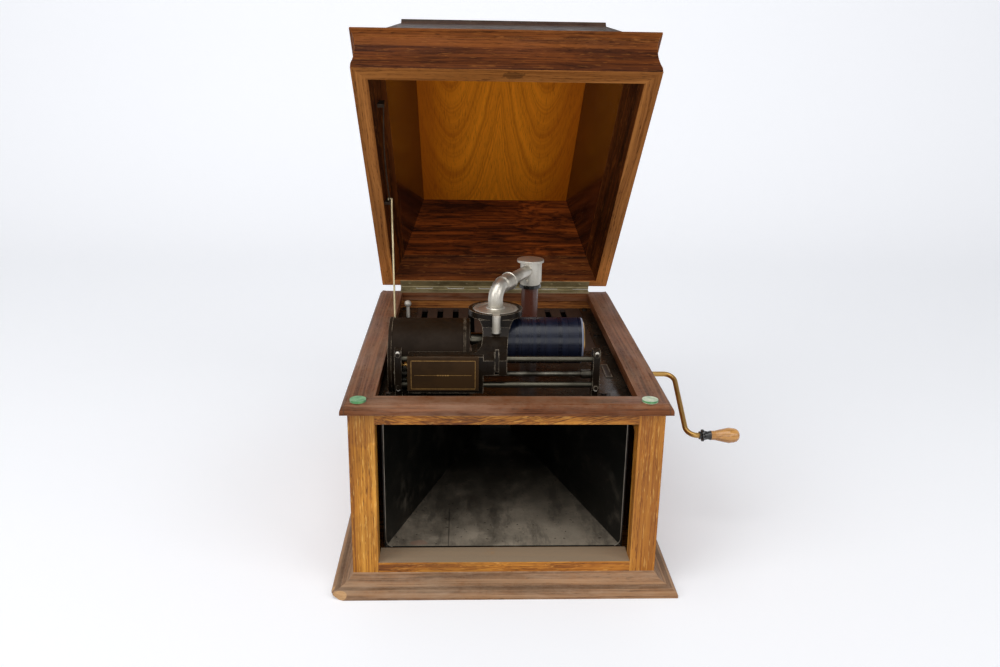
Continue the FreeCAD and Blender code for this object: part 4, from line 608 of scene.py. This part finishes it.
def recordMaterial():
    # glossy dark wax with turned grooves, darker and paler bands and a pale rim at the right end
    material, tree, surface, place = newMaterial(
        "deepBlueRecord", Coat_Weight=0.12, Coat_Roughness=0.12, Specular_IOR_Level=0.3)
    x, y, z = axesOf(tree, place)
    bands = noise(tree, together(tree, x, 0.0, 0.0), 160.0, 2.0, 0.5)
    colour = blendColour(tree, spread(tree, bands, 0.3, 0.7), tint(10, 13, 25), tint(15, 21, 40))
    rim = maths(tree, "GREATER_THAN", x, recordLook["rim"])
    colour = painted(tree, colour, rim, 0.55, tint(150, 156, 176))
    tree.links.new(colour, surface.inputs["Base Color"])
    tree.links.new(spread(tree, bands, 0.3, 0.7, 0.20, 0.42), surface.inputs["Roughness"])
    groove = maths(tree, "SINE", times(tree, x, recordLook["grooves"]))
    off = absolute(tree, minus(tree, x, recordLook["middle"]))
    flat = maths(tree, "LESS_THAN", off, recordLook["grooved"])
    bumped(tree, surface, times(tree, groove, flat), 0.12, 0.0001)
    return material


def turnedWoodMaterial():
    material, tree, surface, place = newMaterial(
        "turnedHandle", Coat_Weight=0.5, Coat_Roughness=0.12)
    grain = useGroup(tree, oakGrain, Vector=place, Wander=0.004)
    colour = blendColour(tree, grain["Figure"], tint(144, 90, 34), tint(212, 154, 78))
    colour = painted(tree, colour, grain["Pores"], 0.4, tint(64, 34, 16))
    tree.links.new(colour, surface.inputs["Base Color"])
    rough = spread(tree, noise(tree, place, 60.0), 0.3, 0.7, 0.22, 0.38)
    tree.links.new(rough, surface.inputs["Roughness"])
    bumped(tree, surface, grain["Height"], 0.2, 0.0003)
    return material


feedThreads = 12000.0


def threadedMaterial():
    # fine screw thread on a dark rod
    material, tree, surface, place = newMaterial("feedThread", Metallic=1.0, Roughness=0.35)
    thread = maths(tree, "SINE", times(tree, axesOf(tree, place)[0], feedThreads))
    patches = spread(tree, noise(tree, place, 40.0), 0.35, 0.65)
    colour = blendColour(tree, patches, tint(120, 116, 104), tint(66, 62, 54))
    tree.links.new(colour, surface.inputs["Base Color"])
    bumped(tree, surface, thread, 0.3, 0.00015)
    return material


def grilleMaterial():
    material, tree, surface, place = newMaterial("dustyGrilleBoard", Roughness=0.7)
    grain = useGroup(tree, oakGrain, Vector=place, Wander=0.004)
    colour = blendColour(tree, grain["Figure"], tint(38, 22, 14), tint(62, 38, 24))
    mask = useGroup(tree, settledDust, Vector=place, Amount=0.5)["Mask"]
    colour = blendColour(tree, mask, colour, tint(84, 64, 48))
    tree.links.new(colour, surface.inputs["Base Color"])
    bumped(tree, surface, grain["Height"], 0.2, 0.0003)
    return material


plateLine = {"outside": (0.0004, 0.0007), "inside": (0.0017, 0.0014)}


def plateMaterial():
    # bare dark plate with a thin bright line just inside its edge
    material, tree, surface, place = newMaterial("linedPlate", Roughness=0.3, Metallic=0.2)
    low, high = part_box("name_plate")
    x, y, z = axesOf(tree, place)
    nearX = maths(tree, "MINIMUM", minus(tree, x, low[0]), minus(tree, high[0], x))
    nearY = maths(tree, "MINIMUM", minus(tree, y, low[1]), minus(tree, high[1], y))
    inset = maths(tree, "MINIMUM", nearX, nearY)
    line = times(tree, spread(tree, inset, *plateLine["outside"]),
                 spread(tree, inset, *plateLine["inside"]))
    broken = times(tree, line, spread(tree, noise(tree, place, 200.0), 0.35, 0.5))
    grime = spread(tree, noise(tree, place, 90.0, 4.0), 0.4, 0.7)
    colour = blendColour(tree, grime, tint(34, 27, 21), tint(52, 44, 36))
    colour = blendColour(tree, broken, colour, tint(150, 140, 120))
    tree.links.new(colour, surface.inputs["Base Color"])
    bumped(tree, surface, grime, 0.1, 0.0002)
    return material


finishes["horn"] = hornMaterial()
finishes["plate"] = plateMaterial()
finishes["felt"] = feltMaterial("greenFelt", tint(66, 128, 74), tint(104, 162, 104))
finishes["faded"] = feltMaterial("fadedFelt", tint(150, 172, 140), tint(200, 206, 176))
finishes["record"] = recordMaterial()
finishes["handle"] = turnedWoodMaterial()
finishes["thread"] = threadedMaterial()
finishes["grille"] = grilleMaterial()
print("metals and other finishes made")

finishOf = {
    "stile": ["front_stiles"],
    "rail": ["front_rails"],
    "side": ["side_panels"],
    "inside": ["bottom_board", "bedplate_cleats"],
    "back": ["back_panel"],
    "frame": ["top_frame"],
    "base": ["base_moulding"],
    "lidOut": ["lid_rim", "lid_cornice"],
    "lidTop": ["lid_roof", "lid_top_board"],
    "lidIn": ["lid_inner_slopes"],
    "panel": ["lid_inner_panel"],
    "japan": ["mandrel_bearing", "end_plates", "carriage_arm", "lift_lever"],
    "cover": ["carriage_cover"],
    "bed": ["bedplate", "bedplate_screws"],
    "pale": ["start_lever"],
    "drum": ["drum_cover"],
    "grille": ["slotted_board"],
    "nickel": ["swivel_head", "elbow", "reproducer_body", "crank_escutcheon"],
    "steel": ["motor_frame", "governor", "drive_shaft", "second_wheel", "winding_wheel",
              "winding_pinion", "spring_barrel", "drive_idler", "reproducer_weight",
              "lever_bracket"],
    "rod": ["guide_rods", "mandrel_shaft"],
    "thread": ["feed_screw"],
    "hinge": ["hinge_case_leaf", "hinge_lid_leaf"],
    "track": ["stay_track", "stay_bracket"],
    "wire": ["stay_rod"],
    "brass": ["crank_rod", "mandrel", "feed_idler"],
    "horn": ["horn", "horn_elbow"],
    "plate": ["name_plate"],
    "pipe": ["tone_pipe"],
    "collar": ["pipe_collar", "crank_ferrule"],
    "record": ["record"],
    "handle": ["crank_handle"],
    "felt": ["felt_pads"],
    "blued": ["mainspring"],
}
for finish, names in finishOf.items():
    for name in names:
        if not nodes[name].material_slots:
            nodes[name].data.materials.append(finishes[finish])
        for slot in nodes[name].material_slots:
            slot.material = finishes[finish]
missing = [name for name in nodes if not any(name in names for names in finishOf.values())]
print("nodes dressed", len(nodes), "without a finish", missing)


# New pieces

def meshPiece(name, shape, finish, body):
    bmesh.ops.remove_doubles(shape, verts=shape.verts, dist=1e-6)
    bmesh.ops.recalc_face_normals(shape, faces=shape.faces)
    mesh = bpy.data.meshes.new(name)
    shape.to_mesh(mesh)
    shape.free()
    piece = bpy.data.objects.new(name, mesh)
    bpy.context.collection.objects.link(piece)
    mesh.materials.append(finishes[finish])
    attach(piece, body)


def addBar(shape, low, high):
    made = bmesh.ops.create_cube(shape, size=1.0)["verts"]
    size = [b - a for a, b in zip(low, high)]
    middle = [(a + b) / 2 for a, b in zip(low, high)]
    bmesh.ops.scale(shape, vec=size, verts=made)
    bmesh.ops.translate(shape, vec=middle, verts=made)


coverLining = {"left": -0.1072, "right": -0.0345, "low": 0.2228, "high": 0.2568,
               "y": -0.17405, "proud": 0.00012, "sunk": 0.0001, "line": 0.0005}
liningRule = {"drop": 0.0005, "inset": 0.004, "half": 0.00015}
liningDots = {"count": 5, "from": 0.0305, "pitch": 0.0028, "half": (0.0008, 0.0006),
              "proud": 0.00004}


def makeCoverLining():
    # gold border with a thin rule and a row of dots across its middle
    left, right, low, high = (coverLining[key] for key in ("left", "right", "low", "high"))
    shape = bmesh.new()
    y0, y1 = coverLining["y"] - coverLining["proud"], coverLining["y"] + coverLining["sunk"]
    line = coverLining["line"]
    for x0, x1, z0, z1 in ((left, right, low, low + line), (left, right, high - line, high),
                           (left, left + line, low, high), (right - line, right, low, high)):
        addBar(shape, (x0, y0, z0), (x1, y1, z1))
    middle = (low + high) / 2 - liningRule["drop"]
    inset, half = liningRule["inset"], liningRule["half"]
    addBar(shape, (left + inset, y0, middle - half), (right - inset, y1, middle + half))
    halfX, halfZ = liningDots["half"]
    for k in range(liningDots["count"]):
        x = left + liningDots["from"] + liningDots["pitch"] * k
        addBar(shape, (x - halfX, y0 - liningDots["proud"], middle - halfZ),
               (x + halfX, y1, middle + halfZ))
    meshPiece("coverLining", shape, "gold", "carriage")


screwHead = {"sides": 20, "taper": 0.72, "inset": 0.2, "dome": 0.15}
screwSlot = {"length": 1.3, "width": 0.0005, "depth": 0.1, "up": 1.16}


def addScrew(shape, centre, normal, radius, height, turn):
    # a domed head with a driver slot, made along Z and turned to its face
    made = bmesh.ops.create_cone(
        shape, cap_ends=True, cap_tris=False, segments=screwHead["sides"], radius1=radius,
        radius2=radius * screwHead["taper"], depth=height)["verts"]
    bmesh.ops.translate(shape, vec=(0, 0, height / 2), verts=made)
    top = [face for face in {face for vert in made for face in vert.link_faces}
           if face.normal.z > 0.9 or face.calc_center_median().z > height * 0.9]
    inner = bmesh.ops.inset_individual(shape, faces=top, thickness=radius * screwHead["inset"],
                                       depth=height * screwHead["dome"])["faces"]
    made = list({vert for face in top + inner for vert in face.verts} | set(made))
    cut = bmesh.ops.create_cube(shape, size=1.0)["verts"]
    size = (radius * screwSlot["length"], screwSlot["width"], height * screwSlot["depth"])
    bmesh.ops.scale(shape, vec=size, verts=cut)
    bmesh.ops.translate(shape, vec=(0, 0, height * screwSlot["up"]), verts=cut)
    bmesh.ops.rotate(shape, cent=(0, 0, 0), matrix=Matrix.Rotation(turn, 3, "Z"), verts=cut)
    both = made + cut
    way = Vector((0, 0, 1)).rotation_difference(Vector(normal)).to_matrix()
    bmesh.ops.rotate(shape, cent=(0, 0, 0), matrix=way, verts=both)
    bmesh.ops.translate(shape, vec=centre, verts=both)


hingeScrews = {"count": 7, "from": -0.132, "pitch": 0.044, "caseY": 0.2290, "caseZ": 0.2302,
               "lidA": 0.0105, "lidH": -0.0012, "radius": 0.0024, "height": 0.0008}


def makeHingeScrews():
    h = hingeScrews
    onCase = bmesh.new()
    onLid = bmesh.new()
    back = Matrix.Rotation(-lidTurn["angle"], 3, "X")
    hingeAt = Vector((0, lidTurn["hingeY"], lidTurn["hingeZ"]))
    for k in range(h["count"]):
        x = h["from"] + k * h["pitch"]
        addScrew(onCase, (x, h["caseY"], h["caseZ"]), (0, 0, 1), h["radius"], h["height"], 0.3 + k)
        place = back @ Vector((x, -h["lidA"], h["lidH"])) + hingeAt
        addScrew(onLid, place, back @ Vector((0, 0, -1)), h["radius"], h["height"], 0.9 * k)
    meshPiece("hingeScrewsCase", onCase, "hinge", "case")
    meshPiece("hingeScrewsLid", onLid, "hinge", "lid")


hingeStrip = {"low": (-0.147, 0.2372, 0.2302), "high": (0.147, 0.2378, 0.2316)}


def makeHingeStrip():
    # a fold of the case leaf under the knuckles
    shape = bmesh.new()
    addBar(shape, hingeStrip["low"], hingeStrip["high"])
    meshPiece("hingeFold", shape, "hinge", "case")


plateScrews = {"x": (-0.1220, 0.1035), "y": -0.1690, "z": (0.2204, 0.2636),
               "radius": 0.0023, "height": 0.0009}


def makePlateScrews():
    p = plateScrews
    shape = bmesh.new()
    for x in p["x"]:
        for k, z in enumerate(p["z"]):
            addScrew(shape, (x, p["y"], z), (0, -1, 0), p["radius"], p["height"], 0.7 + k)
    meshPiece("plateScrews", shape, "pale", "case")


hornBead = {"halfWidth": 0.1378, "low": 0.0342, "high": 0.1915, "y": -0.1973,
            "corner": 0.010, "radius": 0.0008}


def makeHornBead():
    # folded edge of the horn's mouth at both sides, running out at the rounded lower corners
    h = hornBead
    curve = bpy.data.curves.new("hornBead", "CURVE")
    curve.dimensions = "3D"
    curve.bevel_depth = h["radius"]
    curve.bevel_resolution = 2
    curve.use_fill_caps = True
    for side in (-1, 1):
        path = [(side * h["halfWidth"], h["high"])]
        for degrees in range(0, 90, 15):
            angle = math.radians(degrees)
            path.append((side * (h["halfWidth"] - h["corner"] * (1 - math.cos(angle))),
                         h["low"] + h["corner"] * (1 - math.sin(angle))))
        spline = curve.splines.new("POLY")
        spline.points.add(len(path) - 1)
        for point, (x, z) in zip(spline.points, path):
            point.co = (x, h["y"], z, 1)
    holder = bpy.data.objects.new("hornBeadCurve", curve)
    bpy.context.collection.objects.link(holder)
    mesh = bpy.data.meshes.new_from_object(holder)
    bpy.data.objects.remove(holder)
    piece = bpy.data.objects.new("hornMouthBead", mesh)
    bpy.context.collection.objects.link(piece)
    mesh.materials.clear()
    mesh.materials.append(finishes["steel"])
    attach(piece, "case")


fadedPad = {"inset": 0.0088, "radius": 0.00885, "top": 0.0086, "height": 0.0026}


def makeFadedPad():
    # paler skin over the right felt pad
    low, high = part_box("felt_pads")
    shape = bmesh.new()
    made = bmesh.ops.create_cone(
        shape, cap_ends=True, cap_tris=False, segments=40, radius1=fadedPad["radius"],
        radius2=fadedPad["top"], depth=fadedPad["height"])["verts"]
    centre = (high[0] - fadedPad["inset"], (low[1] + high[1]) / 2,
              low[2] + fadedPad["height"] / 2)
    bmesh.ops.translate(shape, vec=centre, verts=made)
    meshPiece("fadedRightPad", shape, "faded", "case")


makeCoverLining()
makeHingeScrews()
makeHingeStrip()
makePlateScrews()
makeHornBead()
makeFadedPad()
print("small pieces made")


# Room, light and camera

room = {"floorFront": -4.0, "wallY": 2.6, "wallTop": 4.0, "turn": 1.2, "halfWidth": 6.0,
        "drop": 0.0002, "bends": 12}
roomLook = {"base": (0.82, 0.825, 0.84, 1), "glow": 0.40, "far": (-1.0, 2.8, 0.36, 1.0)}
air = {"colour": (0.93, 0.95, 1.0, 1), "strength": 0.3}


def roomProfile():
    # floor, rounded corner and wall, from front to back
    r = room
    line = [(r["floorFront"], 0.0), (r["wallY"] - r["turn"], 0.0)]
    for k in range(1, r["bends"] + 1):
        angle = math.radians(90 * k / r["bends"])
        line.append((r["wallY"] - r["turn"] + r["turn"] * math.sin(angle),
                     r["turn"] - r["turn"] * math.cos(angle)))
    return line + [(r["wallY"], r["wallTop"])]


def roomMaterial():
    # seen by the camera and in reflections it also glows, more towards the wall
    material, tree, surface, place = newMaterial(
        "paleRoom", Roughness=0.9, Specular_IOR_Level=0.1, Base_Color=roomLook["base"],
        Emission_Strength=roomLook["glow"])
    rays = tree.nodes.new("ShaderNodeLightPath").outputs
    mirrored = maths(tree, "MAXIMUM", rays["Is Glossy Ray"], rays["Is Transmission Ray"])
    seen = maths(tree, "MAXIMUM", rays["Is Camera Ray"], mirrored)
    x, y, z = axesOf(tree, place)
    far = spread(tree, plus(tree, y, z), *roomLook["far"])
    lift = painted(tree, (0, 0, 0, 1), seen, far, air["colour"])
    tree.links.new(lift, surface.inputs["Emission Color"])
    return material


def makeRoom():
    shape = bmesh.new()
    verts = [shape.verts.new((-room["halfWidth"], y, z - room["drop"])) for y, z in roomProfile()]
    edges = [shape.edges.new(pair) for pair in zip(verts, verts[1:])]
    made = bmesh.ops.extrude_edge_only(shape, edges=edges)["geom"]
    moved = [item for item in made if isinstance(item, bmesh.types.BMVert)]
    bmesh.ops.translate(shape, vec=(2 * room["halfWidth"], 0, 0), verts=moved)
    bmesh.ops.recalc_face_normals(shape, faces=shape.faces)
    mesh = bpy.data.meshes.new("room")
    shape.to_mesh(mesh)
    shape.free()
    for face in mesh.polygons:
        face.use_smooth = True
    backdrop = bpy.data.objects.new("room", mesh)
    bpy.context.collection.objects.link(backdrop)
    mesh.materials.append(roomMaterial())


lamps = [
    {"name": "softTop", "at": (-0.5, -0.9, 2.6), "aim": (0, 0, 0.2), "size": 2.2, "power": 38},
    {"name": "softLeft", "at": (-2.2, -1.6, 1.5), "aim": (0, 0, 0.3), "size": 1.8, "power": 23},
    {"name": "softRight", "at": (2.1, -1.8, 1.7), "aim": (0, 0, 0.3), "size": 1.8, "power": 23},
    {"name": "softFront", "at": (0.1, -3.0, 1.1), "aim": (0, 0, 0.3), "size": 1.4, "power": 12},
]


def makeLamps():
    for lamp in lamps:
        light = bpy.data.lights.new(lamp["name"], "AREA")
        light.size = lamp["size"]
        light.energy = lamp["power"]
        holder = bpy.data.objects.new(lamp["name"], light)
        bpy.context.collection.objects.link(holder)
        holder.location = lamp["at"]
        way = Vector(lamp["aim"]) - Vector(lamp["at"])
        holder.rotation_euler = way.to_track_quat("-Z", "Y").to_euler()
    world = bpy.data.worlds.new("paleAir")
    bpy.context.scene.world = world
    world.use_nodes = True
    sky = world.node_tree.nodes["Background"]
    sky.inputs["Color"].default_value = air["colour"]
    sky.inputs["Strength"].default_value = air["strength"]


# place in metres, turns in degrees and lens in mm, fitted to the photograph
cameraSet = {"at": (-0.04599, -1.12524, 0.59274), "pitch": 17.677, "yaw": -2.321,
             "roll": -0.932, "lens": 32.2875, "sensor": 36.0}


def makeCamera():
    c = cameraSet
    data = bpy.data.cameras.new("camera")
    data.lens = c["lens"]
    data.sensor_width = c["sensor"]
    data.clip_start = 0.02
    camera = bpy.data.objects.new("camera", data)
    bpy.context.collection.objects.link(camera)
    yaw = Matrix.Rotation(math.radians(c["yaw"]), 3, "Z")
    pitch = Matrix.Rotation(-math.radians(c["pitch"]), 3, "X")
    roll = Matrix.Rotation(math.radians(c["roll"]), 3, "Y")
    stand = Matrix.Rotation(math.radians(90), 3, "X")
    turned = yaw @ pitch @ roll @ stand
    camera.matrix_world = Matrix.Translation(c["at"]) @ turned.to_4x4()
    bpy.context.scene.camera = camera


makeRoom()
makeLamps()
makeCamera()
bpy.context.scene.view_settings.view_transform = "Standard"
print("room, lamps and camera made")
